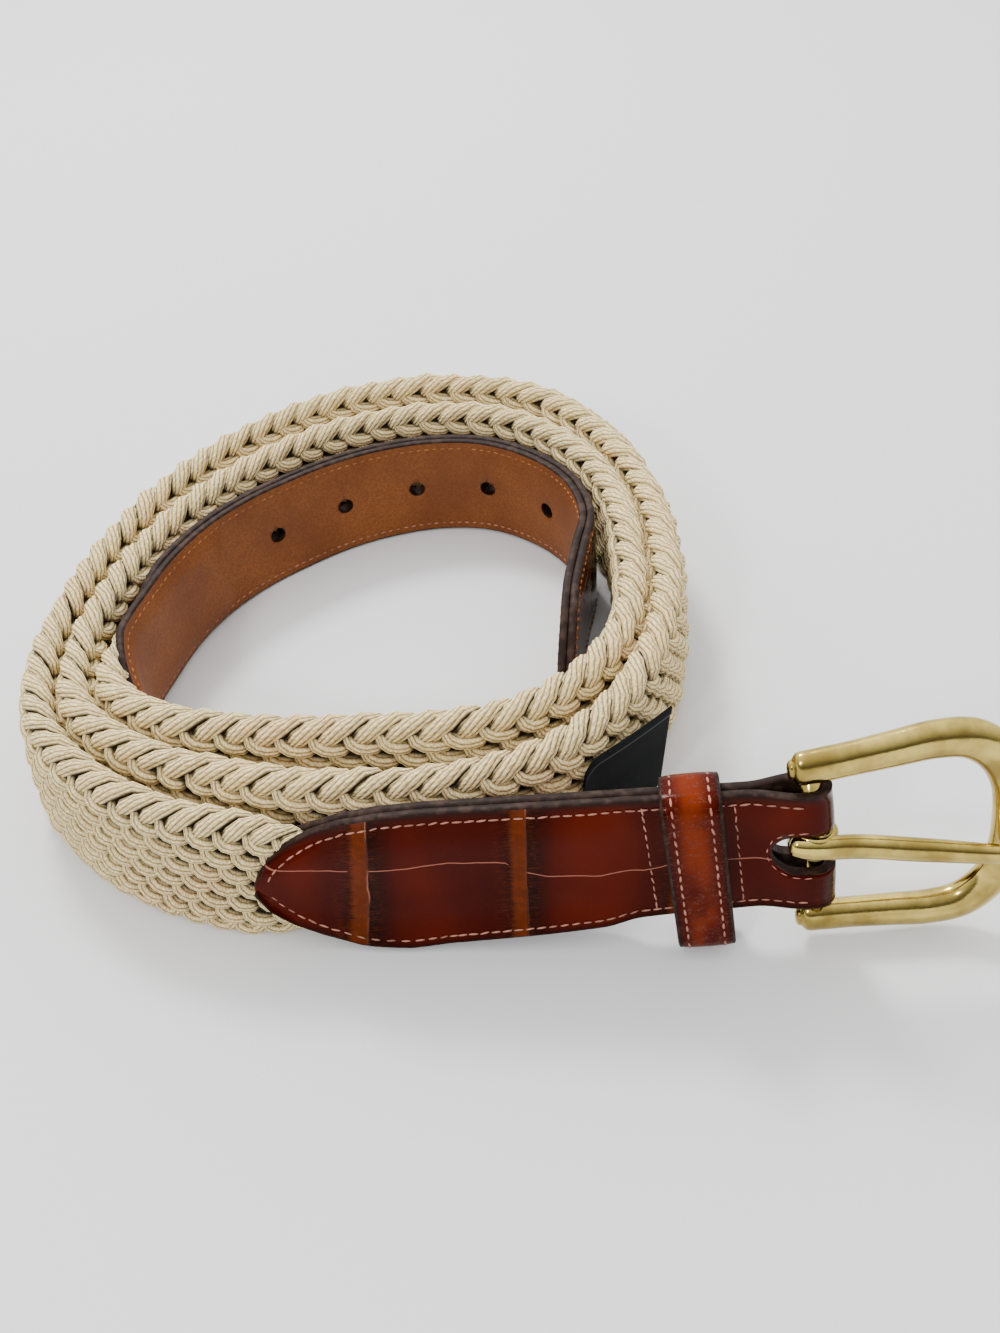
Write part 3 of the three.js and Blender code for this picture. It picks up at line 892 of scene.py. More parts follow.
@dataclass(frozen=True)
class KeeperFinish(CrocFinish):
    """The keeper's leather: one small scale, painted lighter in patches towards its middle, with fine
    wrinkles round its middle.
    """

    dark: Colour = (0.012, 0.0009, 0.0004)
    body: Colour = (0.052, 0.0032, 0.0009)
    painted_highlight: Colour = (0.155, 0.018, 0.0022)
    emboss: float = 0.10

    def build(self) -> Material:
        """The keeper's material.

        Returns:
            The material.
        """
        shader, run, height = self.start()
        from_edge = shader.attribute("rim")
        # Painted highlight in patches away from the keeper's edges
        cloud = shader.noise(120.0, 1.0)
        painted_highlight = shader.times(shader.span(from_edge, 1.8, 5.0), shader.span(cloud, 0.32, 0.6))
        colour = shader.mix(shader.span(from_edge, 0.0, 2.2), self.dark, self.body)
        colour = shader.mix(shader.times(painted_highlight, 0.9), colour, self.painted_highlight)
        strokes = shader.vector(shader.times(run, 0.35), shader.times(height, 0.55))
        folds = shader.noise(1.1, 4.0, strokes)
        line = shader.apart(folds, 0.5)
        fold = shader.span(line, 0.0, 0.02, 1.0, 0.0)
        shader.paint(shader.mix(shader.times(fold, 0.22), colour, self.crease))
        smoothed = shader.rest(fold)
        pebble = shader.cells(self.pebbles)
        shader.bump((smoothed, self.emboss), (pebble, self.pebble_depth))
        return shader.material


@dataclass(frozen=True)
class LiningFinish:
    """Tan leather with a fine grain and slow changes of tone."""

    name: str = "tan lining"
    body: Colour = (0.155, 0.043, 0.0065)
    warm: Colour = (0.215, 0.066, 0.011)
    grain: Colour = (0.095, 0.024, 0.004)
    roughness: float = 0.52
    specular: float = 0.25
    pebbles: float = 1500.0
    pebble_depth: float = 0.07

    def build(self) -> Material:
        """The lining's material.

        Returns:
            The material.
        """
        shader = Shader(self.name, self.roughness, self.specular)
        pebble = shader.cells(self.pebbles)
        cloud = shader.noise(45.0, 3.0)
        colour = shader.mix(shader.span(cloud, 0.35, 0.7), self.body, self.warm)
        speck = shader.span(shader.noise(1600.0, 1.0), 0.42, 0.6, 0.45, 0.0)
        shader.paint(shader.mix(speck, colour, self.grain))
        shader.bump((pebble, self.pebble_depth))
        return shader.material


@dataclass(frozen=True)
class EdgeFinish:
    """Dark paint on the cut edges of the leather, a little worn."""

    name: str = "edge paint"
    paint: Colour = (0.014, 0.0065, 0.0045)
    worn: Colour = (0.040, 0.022, 0.016)
    roughness: float = 0.55
    specular: float = 0.1
    wear_depth: float = 0.05

    def build(self) -> Material:
        """The painted edge's material.

        Returns:
            The material.
        """
        shader = Shader(self.name, self.roughness, self.specular)
        wear = shader.noise(500.0, 3.0)
        shader.paint(shader.mix(shader.span(wear, 0.42, 0.7), self.paint, self.worn))
        shader.bump((wear, self.wear_depth))
        return shader.material


@dataclass(frozen=True)
class BrassFinish:
    """Solid brass, polished over its cast grain and lightly handled."""

    name: str
    bright: Colour = (0.60, 0.46, 0.125)
    dull: Colour = (0.30, 0.21, 0.05)
    roughness: float = 0.25
    polish: tuple[float, float] = (0.10, 0.24)
    cast_depth: float = 0.02

    def build(self) -> Material:
        """The brass's material.

        Returns:
            The material.
        """
        shader = Shader(self.name, self.roughness, metallic=1.0)
        cast = shader.noise(1100.0, 3.0)
        handled = shader.noise(120.0, 3.0)
        colour = shader.mix(shader.span(handled, 0.35, 0.7), self.bright, self.dull)
        shader.paint(shader.mix(shader.span(cast, 0.55, 0.75, 0.0, 0.35), colour, self.dull))
        shader.roughen(shader.span(handled, 0.3, 0.75, *self.polish))
        shader.bump((cast, self.cast_depth))
        return shader.material


@dataclass(frozen=True)
class ThreadFinish:
    """Waxed sewing thread."""

    name: str
    colour: Colour
    roughness: float = 0.6
    specular: float = 0.15
    soiling: float = 0.55
    twist_depth: float = 0.08

    def build(self) -> Material:
        """The thread's material.

        Returns:
            The material.
        """
        shader = Shader(self.name, self.roughness, self.specular)
        soiled = shader.noise(260.0, 2.0)
        dim = tuple(value * self.soiling for value in self.colour)
        shader.paint(shader.mix(shader.span(soiled, 0.4, 0.7), self.colour, dim))
        shader.bump((shader.noise(2600.0), self.twist_depth))
        return shader.material


@dataclass(frozen=True)
class WovenFinish:
    """Black ribbon with a fine rib across it, painted lighter on its ribs, and a painted highlight along
    the fold of its hem.
    """

    name: str = "black ribbon"
    body: Colour = (0.0022, 0.0028, 0.0034)
    lit: Colour = (0.007, 0.0085, 0.010)
    # hem is the painted highlight along the fold of the hem
    hem: Colour = (0.11, 0.125, 0.135)
    hem_line: float = 0.907
    ribs: float = 48.0
    warp_share: float = 1.6
    rib_depth: float = 0.06
    roughness: float = 0.8
    specular: float = 0.12

    def build(self) -> Material:
        """The ribbon's material.

        Returns:
            The material.
        """
        shader = Shader(self.name, self.roughness, self.specular)
        along, height = shader.uv()
        weft = shader.math("PINGPONG", shader.times(height, self.ribs), 0.5)
        warp = shader.math("PINGPONG", shader.times(along, self.ribs * self.warp_share), 0.5)
        rib = shader.math("ADD", weft, warp)
        colour = shader.mix(rib, self.body, self.lit)
        # Painted highlight along the fold at the top of the hem
        fold = shader.apart(height, self.hem_line)
        shader.paint(shader.mix(shader.span(fold, 0.006, 0.02, 0.8, 0.0), colour, self.hem))
        shader.bump((rib, self.rib_depth))
        return shader.material


@dataclass(frozen=True)
class FloorFinish:
    """A pale, even table top."""

    name: str = "pale table"
    colour: Colour = (0.72, 0.72, 0.725)
    roughness: float = 0.9
    specular: float = 0.1

    def build(self) -> Material:
        """The table's material."""
        shader = Shader(self.name, self.roughness, self.specular)
        shader.paint(self.colour)
        return shader.material


# Braid


class StrandRow(NamedTuple):
    """A station of a strand: along and round as shares, lift in millimetres, width as a share."""

    along: float
    round: float
    lift: float
    width: float


# One strand on the face: steep at its upper left end, then sweeping to the right.
FACE_ROWS = rows_of(
    StrandRow, (-0.42, 0.95, -1.5, 0.60), (-0.46, 0.50, -0.25, 0.82), (-0.36, 0.08, 0.62, 0.96),
    (-0.14, -0.20, 0.95, 1.0), (0.14, -0.31, 0.92, 1.0), (0.42, -0.34, 0.35, 0.92),
    (0.68, -0.30, -1.3, 0.66))
# One strand over the edge: along in pitches, round in millimetres from the edge's crest.
EDGE_ROWS = rows_of(
    StrandRow, (-1.0, -6.9, -1.35, 0.60), (-0.88, -5.7, -0.15, 0.84), (-0.65, -4.0, 0.60, 0.98),
    (-0.23, -1.45, 0.85, 1.04), (0.23, 1.45, 0.85, 1.04), (0.65, 4.0, 0.60, 0.98),
    (0.88, 5.7, -0.15, 0.84), (1.0, 6.9, -1.35, 0.60))


# The spacing of the strands at runs along the strap
PITCH_ROWS = rows_of(
    ValueRow, (80, 6.1), (170, 6.4), (240, 7.8), (360, 8.2), (520, 7.3), (640, 6.9), (780, 7.8),
    (900, 7.8), (1060, 7.2))


@dataclass
class Braid:
    """The woven band: floats in staggered rows on both faces, and strands over both edges."""

    band: Band
    face_rows: int = 7
    row_height: float = 4.3
    first_row: float = 4.5
    face_width: float = 0.66
    edge_width: float = 0.74
    cords: int = 5
    ridge: float = 0.2
    edge_sag: float = 1.6
    face_sag: float = 2.4
    tilt: float = 0.3
    first_run: float = 84.0
    last_margin: float = 8.0
    core_depth: float = 1.3
    core_shade_and_tone: float = 0.4
    rest_height: float = 0.05
    jitter: float = 0.07
    stagger: float = 0.5
    edge_lead: float = 0.25
    lowest: float = -1.4
    depth_span: float = 2.2
    core_steps: int = 340
    core_sides: int = 28
    core_repeat: float = 10.0
    seed: int = 11

    def __post_init__(self) -> None:
        """Works out how the strands are counted along the strap."""
        self.random = np.random.default_rng(self.seed)
        runs = np.arange(self.first_run, self.band.tip_start + self.last_margin, 1.0)
        pitch = looked_up(PITCH_ROWS, runs)
        self.count_runs = runs
        self.counts = np.concatenate([[0.0], np.cumsum(1.0 / pitch[:-1])])
        self.whole = np.arange(1, int(self.counts[-1]))

    def _strands(
        self, name: str, rows: Sequence[StrandRow], at: Array, girth: Array, side: float,
        reach: float, width: float, sag: float) -> Mesh:
        """A field of equal strands laid on the band.

        Args:
            name: The mesh's name.
            rows: The stations of one strand.
            at: Each strand's count along the strap.
            girth: Where each strand lies round the section.
            side: 1, or -1 for strands turned half round in the surface.
            reach: The length that the stations' round is a share of.
            width: The strands' width, as a share of the local pitch.
            sag: How far a strand's sides lie below its middle.

        Returns:
            The mesh, one open ridged strip per strand.
        """
        stations, lanes = len(rows), 2 * self.cords + 1
        table = np.array(rows)
        runs = np.interp(at, self.counts, self.count_runs)
        pitch = 1.0 / np.interp(runs, self.count_runs[1:], np.diff(self.counts) / np.diff(self.count_runs))
        pitch = pitch[:, None]
        wobble = self.random.normal(0.0, self.jitter, (3, len(at), 1))
        along = table[None, :, 0] * pitch * (1 + wobble[0]) + wobble[1] * 2
        round_ = table[None, :, 1] * reach * np.ones_like(along)
        lift = table[None, :, 2] + wobble[2] * 2
        wide = table[None, :, 3] * width * pitch / 2
        slope_a, slope_q = np.gradient(along, axis=1), np.gradient(round_, axis=1)
        size = np.hypot(slope_a, slope_q)
        spread = np.linspace(-1.0, 1.0, lanes)[None, None, :]
        a = along[..., None] - (slope_q / size * wide)[..., None] * spread
        q = round_[..., None] + (slope_a / size * wide)[..., None] * spread
        ridges = np.where(np.arange(lanes) % 2, self.ridge, 0.0)[None, None, :]
        height = lift[..., None] - sag * spread**2 - self.tilt * spread + ridges
        points = self.band.surface(
            runs[:, None, None] - side * a, girth[:, None, None] + side * q, height)
        points[..., 2] = np.maximum(points[..., 2], self.rest_height)
        grid = (len(at) * stations, lanes)
        u = np.broadcast_to(np.linspace(0.0, 1.0, stations)[None, :, None], height.shape)
        v = np.broadcast_to((spread + 1) / 2, height.shape)
        tone = np.broadcast_to(self.random.random(len(at))[:, None, None], height.shape)
        uv = np.stack([u, v], axis=-1).reshape(*grid, 2)
        # How deep each point lies, which the cords' finish turns into painted shade
        depth = (height - self.lowest) / self.depth_span
        attributes = {"depth": depth.reshape(grid), "tone": tone.reshape(grid)}
        patch = Patch(points.reshape(*grid, 3), uv, attributes)
        return smooth(grid_mesh(name, patch, stations))

    def face(self, side: Side) -> Mesh:
        """The floats on one face of the band.

        Args:
            side: Which face.

        Returns:
            The mesh.
        """
        top = self.band.crest - self.band.girth / 4
        counts, girths = [], []
        for row in range(self.face_rows):
            level = self.band.route.band_width / 2 - self.first_row - row * self.row_height
            place = top + level if side is Side.OUTER else 2 * self.band.crest - top - level
            counts.append(self.whole + (row * self.stagger) % 1)
            girths.append(np.full(len(self.whole), place))
        return self._strands(
            f"braid_{side.name.lower()}_face", FACE_ROWS, np.concatenate(counts), np.concatenate(girths),
            float(side.value), self.row_height, self.face_width, self.face_sag)

    def edge(self, top: bool) -> Mesh:
        """The strands over the top or the bottom edge.

        Args:
            top: True for the top edge.

        Returns:
            The mesh.
        """
        crest = self.band.crest + (0.0 if top else self.band.girth / 2)
        at = self.whole + self.edge_lead
        return self._strands(
            "braid_edge", EDGE_ROWS, at, np.full(len(at), crest), 1.0, 1.0, self.edge_width, self.edge_sag)

    def core(self) -> Mesh:
        """The closed inner body of the band, down between the strands.

        Returns:
            The mesh.
        """
        steps, sides = self.core_steps, self.core_sides
        runs = np.linspace(self.band.start, self.band.end, steps)[:, None] * np.ones((1, sides + 1))
        q = np.linspace(0.0, self.band.girth, sides + 1)[None, :] * np.ones((steps, 1))
        points = self.band.surface(runs, q, np.full(runs.shape, -self.core_depth))
        uv = np.stack([runs, q], axis=-1) / self.core_repeat
        # The core sits part way into the cords' painted shade, with a fixed tone
        even = np.full(runs.shape, self.core_shade_and_tone)
        mesh = grid_mesh("braid_core", Patch(points, uv, {"depth": even, "tone": even}))
        return smooth(reworked(mesh, close_up))

    def build(self, cords: Material) -> list[Piece]:
        """Builds the band's pieces.

        Args:
            cords: The cords' finish.

        Returns:
            The pieces.
        """
        edges = joined("braid_edges", [self.edge(True), self.edge(False)])
        pieces = [
            piece("braid_outer_floats", self.face(Side.OUTER), [cords]),
            piece("braid_inner_floats", self.face(Side.INNER), [cords]),
            piece("braid_edge_strands", edges, [cords]),
            piece("braid_core", self.core(), [cords]),
        ]
        for part in pieces:
            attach(part, Body.STRAP.value)
            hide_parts("braid_strap")
        return pieces


# Leather


# Half the width of a pointed end, by shares of its length
POINT_ROWS = rows_of(
    ValueRow, (0.0, 0.08), (0.1, 0.34), (0.25, 0.55), (0.45, 0.74), (0.7, 0.91), (1.0, 1.0))


class PlyStation(NamedTuple):
    """A station of a leather ply.

    across and raised say how far its middle lies off the strap's, half is half its width, and
    pinch and foot how far its upper and its lower edge are drawn in towards the other ply.
    """

    run: float
    across: float
    half: float
    raised: float = 0.0
    pinch: float = 0.0
    foot: float = 0.0


# The height of the tab's long crease, at runs along the strap
CREASE_ROWS = rows_of(
    ValueRow, (0, -0.4), (25, 0.5), (33, -0.9), (52, 0.95), (57, 2.8), (60, 5.9), (71, 7.0),
    (81, 6.6), (89, 7.0), (93, 6.9), (110, 7.4))


# Where the stations lie in from a pointed end, as shares of its length
END_SHARES = (0.0, 0.02, 0.05, 0.1, 0.17, 0.25)


class Stitch(NamedTuple):
    """A kind of stitch, in millimetres: its size, and how far it stands on the leather."""

    length: float
    width: float
    stand: float


TAB_STITCH = Stitch(2.2, 0.44, 0.12)
TIP_STITCH = Stitch(1.5, 0.45, 0.05)
KEEPER_STITCH = Stitch(1.8, 0.5, 0.12)


@dataclass
class Leather:
    """The folded buckle tab, the two-ply tip and their stitching."""

    route: StrapRoute
    band: Band
    thickness: float = 1.9
    fit_gap: float = 0.35
    cover_gap: float = 0.5
    fold_width: float = 30.4
    fold_raise: float = 1.0
    overhang_above: float = 4.6
    overhang_below: float = 0.3
    foot_flare: float = 1.3
    fold_lead: float = 12.0
    fold_turn_in: float = 10.5
    most_pinch: float = 1.7
    point_length: float = 26.5
    tip_width: float = 30.6
    lining_lead: float = 27.0
    bar_radius: float = 1.8
    hole_diameter: float = 4.6
    hole_pitch: float = 22.2
    first_hole: float = 81.0
    holes: int = 5
    slot_length: float = 8.2
    slot_height: float = 10.46
    prong_root: float = 2.35
    station_step: float = 1.25
    face_points: int = 15
    edge_points: int = 7
    edge_round: float = 0.55
    skin: float = 0.06
    fold_points: int = 17
    pinch_slack: float = 0.1
    cut_reach: float = 12.0
    hole_cut: float = 14.0
    hole_sides: int = 28
    rim_lip: float = 0.1
    rim_width: float = 0.62
    rim_stand: float = 0.07
    rim_thickness: float = 0.05
    stitch_inset: float = 2.4
    stitch_pitch: float = 2.4
    stitch_step: float = 0.8
    stitch_slants: tuple[float, float] = (0.06, 0.09)
    stitch_sizes: tuple[float, float] = (0.88, 1.1)
    stitch_rise: float = 0.45
    stitch_ends: float = 0.3
    cross_lines: tuple[float, float] = (14.3, 31.7)
    slot_line: float = 0.9
    seed: int = 5

    def __post_init__(self) -> None:
        """Works out the plies' offsets."""
        self.ply_offset = (self.thickness + self.fit_gap) / 2
        self.fold_radius = self.bar_radius + self.fit_gap + self.thickness / 2
        self.random = np.random.default_rng(self.seed)

    def point_half(self, depth: float, half_width: float) -> float:
        """Half the width of a pointed end, some way in from its point."""
        share = min(max(depth / self.point_length, 0.0), 1.0)
        return half_width * float(looked_up(POINT_ROWS, share))

    def tab_half(self, run: float) -> float:
        """Half the tab's width before its pointed end."""
        wide = self.route.band_width + self.overhang_above + self.overhang_below
        return float(mixed(self.fold_width, wide, run / self.band.tab_length)) / 2

    def tab_edge(self, run: float) -> float:
        """Half the tab's width, drawn in to its point."""
        return self.point_half(self.band.tab_length - run, self.tab_half(run))

    def tab_raise(self, run: float) -> float:
        """How far the tab's middle lies above the strap's."""
        wide = (self.overhang_above - self.overhang_below) / 2
        return float(mixed(self.fold_raise, wide, run / self.band.tab_length))

    def pinch(self, across: float) -> float:
        """How far a ply's edges are drawn in, where its middle stands off by across."""
        closed = self.thickness / 2 + self.pinch_slack
        return min(max(abs(across) - closed, 0.0), self.most_pinch)

    @staticmethod
    def drawn_in(level: Array | float, half: Array | float) -> Array | float:
        """The share of the pinch at a level above a ply's middle."""
        return smoothstep(np.abs(level) / half, 0.6, 0.97)

    def cover(self, run: float) -> float:
        """How far a ply's middle stands off the strap's where it covers the band."""
        over = float(self.band.half_thickness(run)) + self.cover_gap + self.thickness / 2
        beyond = max(self.band.start - run, run - self.band.end)
        return float(mixed(over, self.ply_offset, smoothstep(beyond, 0.8, 9.0)))

    def tab_across(self, run: float) -> float:
        """How far the tab's ply stands off the strap's middle, opening to the fold."""
        near_bar = smoothstep(self.fold_lead - run, 0.0, self.fold_turn_in)
        return float(mixed(self.cover(run), self.fold_radius, near_bar))

    def tab_station(self, run: float, half: float) -> PlyStation:
        """A station of the tab's front ply.

        Args:
            run: How far along the strap.
            half: Half its width there.

        Returns:
            The station.
        """
        across = self.tab_across(run)
        closing = float(smoothstep(run, self.fold_lead, 2 * self.fold_lead))
        flare = -self.foot_flare * float(smoothstep(run, 2 * self.fold_lead, 5 * self.fold_lead))
        return PlyStation(run, across, half, self.tab_raise(run), self.pinch(across) * closing, flare)

    def tab_path(self) -> list[PlyStation]:
        """The tab from its front point, round the bar, to its back point.

        Returns:
            Its stations.
        """
        length = self.band.tab_length
        ends = [length - share * self.point_length for share in END_SHARES]
        steps = int((ends[-1] - 1.0) / self.station_step)
        runs = ends + list(np.linspace(ends[-1], 1.0, steps)[1:])
        front = [self.tab_station(run, self.tab_edge(run)) for run in runs]
        radius, half = self.fold_radius, self.fold_width / 2
        fold = [
            PlyStation(-radius * math.sin(angle), radius * math.cos(angle), half, self.fold_raise)
            for angle in np.linspace(0.0, math.pi, self.fold_points)
        ]
        back = [station._replace(across=-station.across, foot=0.0) for station in reversed(front)]
        return front + fold + back

    def tip_start(self, side: Side) -> float:
        """Where a ply of the tip begins along the strap."""
        return self.band.tip_start - (self.lining_lead if side is Side.INNER else 0.0)

    def tip_half(self, side: Side, run: float) -> float:
        """Half the width of a ply of the tip."""
        wide = self.tip_width / 2
        start, end = self.tip_start(side), self.route.length
        return min(self.point_half(run - start, wide), self.point_half(end - run, wide))

    def tip_path(self, side: Side) -> list[PlyStation]:
        """One ply of the tip, from its point over the band to its own point.

        Args:
            side: Which ply.

        Returns:
            Its stations.
        """
        start, end = self.tip_start(side), self.route.length
        heads = [start + share * self.point_length for share in END_SHARES]
        tails = [end - share * self.point_length for share in reversed(END_SHARES)]
        steps = int((tails[0] - heads[-1]) / self.station_step)
        runs = heads + list(np.linspace(heads[-1], tails[0], steps)[1:-1]) + tails
        stations = []
        for run in runs:
            across = side.value * self.cover(run)
            pinch = self.pinch(across)
            stations.append(PlyStation(run, across, self.tip_half(side, run), 0.0, pinch, pinch))
        return stations

    @staticmethod
    def crease_height(runs: Array) -> Array:
        """Height of the long crease between the scales, as it wanders along the tab."""
        return looked_up(CREASE_ROWS, runs)

    def strip(self, name: str, path: Sequence[PlyStation], grain: float, domed: float) -> Mesh:
        """A leather strip along a path, with rounded edges.

        Args:
            name: The mesh's name.
            path: The stations of its middle.
            grain: Which side of the path is the grain side, 1 or -1.
            domed: How far the grain side swells between its stitch lines.

        Returns:
            The closed mesh: face 0 for the leather's grain side, and 1 for the painted edges and the flesh
                side, whose dark paint stands for the shade inside the tab's fold.
        """
        stations = np.array(path)
        ahead = np.vstack([stations[1:], stations[-1:]])
        behind = np.vstack([stations[:1], stations[:-1]])
        way = (ahead - behind)[:, :2]
        way /= np.linalg.norm(way, axis=1)[:, None]
        runs, half = stations[:, 0], stations[:, 2:3]
        edge = np.minimum(self.edge_round, half * 0.4)
        flat = half - edge
        t = self.thickness / 2 + self.skin
        face = np.linspace(-1.0, 1.0, self.face_points)
        arc = np.linspace(-math.pi / 2, math.pi / 2, self.edge_points + 2)[1:-1]
        level = face * flat
        lift = domed * np.clip(1 - (np.abs(level) / np.maximum(half - 1.2, 0.5)) ** 4, 0, 1)
        top = t - domed * 0.5 + lift
        side, bottom = t * np.sin(arc) * np.ones_like(half), np.full(level.shape, -t)
        depth = np.hstack([top, -side, bottom, side, top[:, :1]])
        bulge = edge * np.cos(arc)
        height = np.hstack([level, flat + bulge, level[:, ::-1], -flat - bulge, level[:, :1]])
        frames = self.route.frames(runs)
        side = (depth * -grain)[..., None]
        pinch = np.where(height > 0, stations[:, 4:5], stations[:, 5:6])
        drawn = self.drawn_in(height, half) * pinch * np.sign(stations[:, 1:2])
        rim = half - np.abs(height)
        height = height + stations[:, 3:4]
        points = frames["middle"][:, None] + frames["up"][:, None] * height[..., None]
        across = (stations[:, 1:2] - drawn)[..., None]
        points = points + frames["out"][:, None] * (across + side * way[:, :1, None])
        points = points - frames["along"][:, None] * (side * way[:, 1:2, None])
        u = np.broadcast_to(walk(stations[:, :2])[:, None] / 100, height.shape)
        attributes = {
            "run": np.broadcast_to(runs[:, None], height.shape),
            "crease": height - self.crease_height(runs)[:, None],
            "rim": rim,
        }
        mesh = grid_mesh(name, Patch(points, np.stack([u, height / 100 + 0.5], axis=-1), attributes))
        column = np.arange(len(mesh.polygons)) // (len(runs) - 1)
        # The flesh side takes the dark edge finish too, as painted shade inside the tab's fold
        painted = column >= self.face_points - 1
        mesh.polygons.foreach_set("material_index", painted.astype(np.int32))
        return smooth(reworked(mesh, close_up))

    def slot_cutter(self) -> Piece:
        """The prong's slot as an oblong that runs out over the fold.

        Returns:
            The cutter.
        """
        frame = self.route.exact(0.0)
        half, root = self.slot_height / 2, self.prong_root / 2
        work = bmesh.new()
        centre = frame["middle"] + frame["up"] * root + frame["along"] * (self.slot_length - half)
        matrix = placed(
            centre + frame["out"] * self.cut_reach, frame["along"] * half, frame["up"] * half, frame["out"])
        bmesh.ops.create_circle(work, cap_ends=True, segments=32, radius=1.0, matrix=matrix)
        far = Vector(frame["along"]) * MM * (self.slot_length + 3 * half)
        for vert in work.verts:
            offset = (vert.co - matrix.translation).dot(Vector(frame["along"]))
            if offset < 1e-7:
                vert.co -= far
        grown = bmesh.ops.extrude_face_region(work, geom=work.faces[:])
        moved = [item for item in grown["geom"] if isinstance(item, bmesh.types.BMVert)]
        bmesh.ops.translate(work, verts=moved, vec=Vector(frame["out"]) * MM * (-2 * self.cut_reach))
        return cutter("slot_cutter", work)

    def hole_runs(self) -> list[float]:
        """How far along the strap each prong hole is."""
        first = self.route.length - self.first_hole
        return [first - hole * self.hole_pitch for hole in range(self.holes)]

    def hole_cutter(self) -> Piece:
        """The five prong holes as one cutter.

        Returns:
            The cutter.
        """
        work = bmesh.new()
        radius = self.hole_diameter / 2
        for run in self.hole_runs():
            frame = self.route.exact(run)
            matrix = placed(frame["middle"], frame["along"], frame["up"], -frame["out"])
            bmesh.ops.create_cone(
                work, cap_ends=True, segments=self.hole_sides, radius1=radius, radius2=radius,
                depth=self.hole_cut, matrix=matrix)
        return cutter("hole_cutter", work)

    def hole_rims(self, side: Side) -> Mesh:
        """The painted rims round the prong holes on one face of the tip.

        Args:
            side: Which face.

        Returns:
            The mesh.
        """
        work = bmesh.new()
        for run in self.hole_runs():
            frame = self.route.exact(run)
            stand = self.cover(run) + self.thickness / 2 + self.rim_stand
            out = frame["out"] * side.value
            centre = frame["middle"] + out * stand
            matrix = placed(centre, frame["along"] * side.value, frame["up"], out)
            inner = self.hole_diameter / 2 - self.rim_lip
            ring = bmesh.ops.create_circle(
                work, cap_ends=False, segments=self.hole_sides, radius=inner, matrix=matrix)
            edges = list({edge for vert in ring["verts"] for edge in vert.link_edges})
            grown = bmesh.ops.extrude_edge_only(work, edges=edges)
            outer = [item for item in grown["geom"] if isinstance(item, bmesh.types.BMVert)]
            middle, sunk = Vector(centre) * MM, Vector(out) * MM * self.rim_thickness
            for vert in outer:
                vert.co = middle + (vert.co - middle) * ((inner + self.rim_width) / inner) - sunk
        bmesh.ops.recalc_face_normals(work, faces=work.faces[:])
        bmesh.ops.solidify(work, geom=work.faces[:], thickness=self.rim_thickness * MM)
        return smooth(mesh_of("hole_rims", work))

    def stitches(self, name: str, spots: Sequence[Spot], kind: Stitch) -> Mesh:
        """Sewn stitches, each a small lens half sunk in the leather.

        Args:
            name: The mesh's name.
            spots: Each stitch's place, its direction and the surface's normal.
            kind: The kind of stitch.

        Returns:
            The stitches as one mesh.
        """
        work = bmesh.new()
        for place, way, normal in spots:
            cross = np.cross(normal, way)
            slant = self.random.normal(*self.stitch_slants)
            size = self.random.uniform(*self.stitch_sizes) / 2
            way = way * math.cos(slant) + cross * math.sin(slant)
            cross = np.cross(normal, way)
            rise = normal * kind.width * self.stitch_rise
            matrix = placed(place, way * kind.length * size, cross * kind.width * size, rise)
            bmesh.ops.create_uvsphere(work, u_segments=6, v_segments=5, radius=1.0, matrix=matrix)
        return smooth(mesh_of(name, work))

    def along_line(
        self, line: Sequence[tuple[float, float]], across: Callable[[float, float], float],
        side: float) -> list[Spot]:
        """Evenly spaced stitches along a line on a ply.

        Args:
            line: The line's corners, each a run and a height.
            across: How far the ply's face stands off the strap's middle at a run and a height.
            side: 1 for the outer side of the strap, -1 for the inner.

        Returns:
            Each stitch's place, direction and normal.
        """
        corners = np.array(line, dtype=float)
        walked = walk(corners)
        marks = np.arange(self.stitch_pitch / 2, walked[-1], self.stitch_pitch)
        spots = []
        for mark in marks:
            ends = []
            for at in (mark - self.stitch_step, mark + self.stitch_step):
                run, height = (float(np.interp(at, walked, corners[:, axis])) for axis in (0, 1))
                frame = self.route.frames(np.array([run]))
                stand = frame["out"][0] * side * across(run, height)
                ends.append(frame["middle"][0] + stand + frame["up"][0] * height)
            way = ends[1] - ends[0]
            run = float(np.interp(mark, walked, corners[:, 0]))
            normal = self.route.frames(np.array([run]))["out"][0] * side
            spots.append(((ends[0] + ends[1]) / 2, way / np.linalg.norm(way), normal))
        return spots

    def outline_line(
        self, start: float, end: float, half: Callable[[float], float], sign: float,
        raised: Callable[[float], float]) -> list[tuple[float, float]]:
        """A line that keeps the stitch inset from a ply's edge, also round its point.

        Args:
            start: The run where it starts.
            end: The run where it ends.
            half: Half the ply's width at a run.
            sign: 1 for the upper edge, -1 for the lower.
            raised: How far the ply's middle is raised at a run.

        Returns:
            The line's corners, each a run and a height.
        """
        runs = np.linspace(start, end, max(int(abs(end - start) / self.stitch_step), 2))
        edge = np.array([(run, half(float(run))) for run in runs])
        way = np.gradient(edge, axis=0)
        inward = np.stack([way[:, 1], -way[:, 0]], axis=1) / np.linalg.norm(way, axis=1)[:, None]
        inset = edge + inward * self.stitch_inset
        kept = inset[inset[:, 1] > 0.2]
        return [(float(run), raised(float(run)) + sign * float(height)) for run, height in kept]

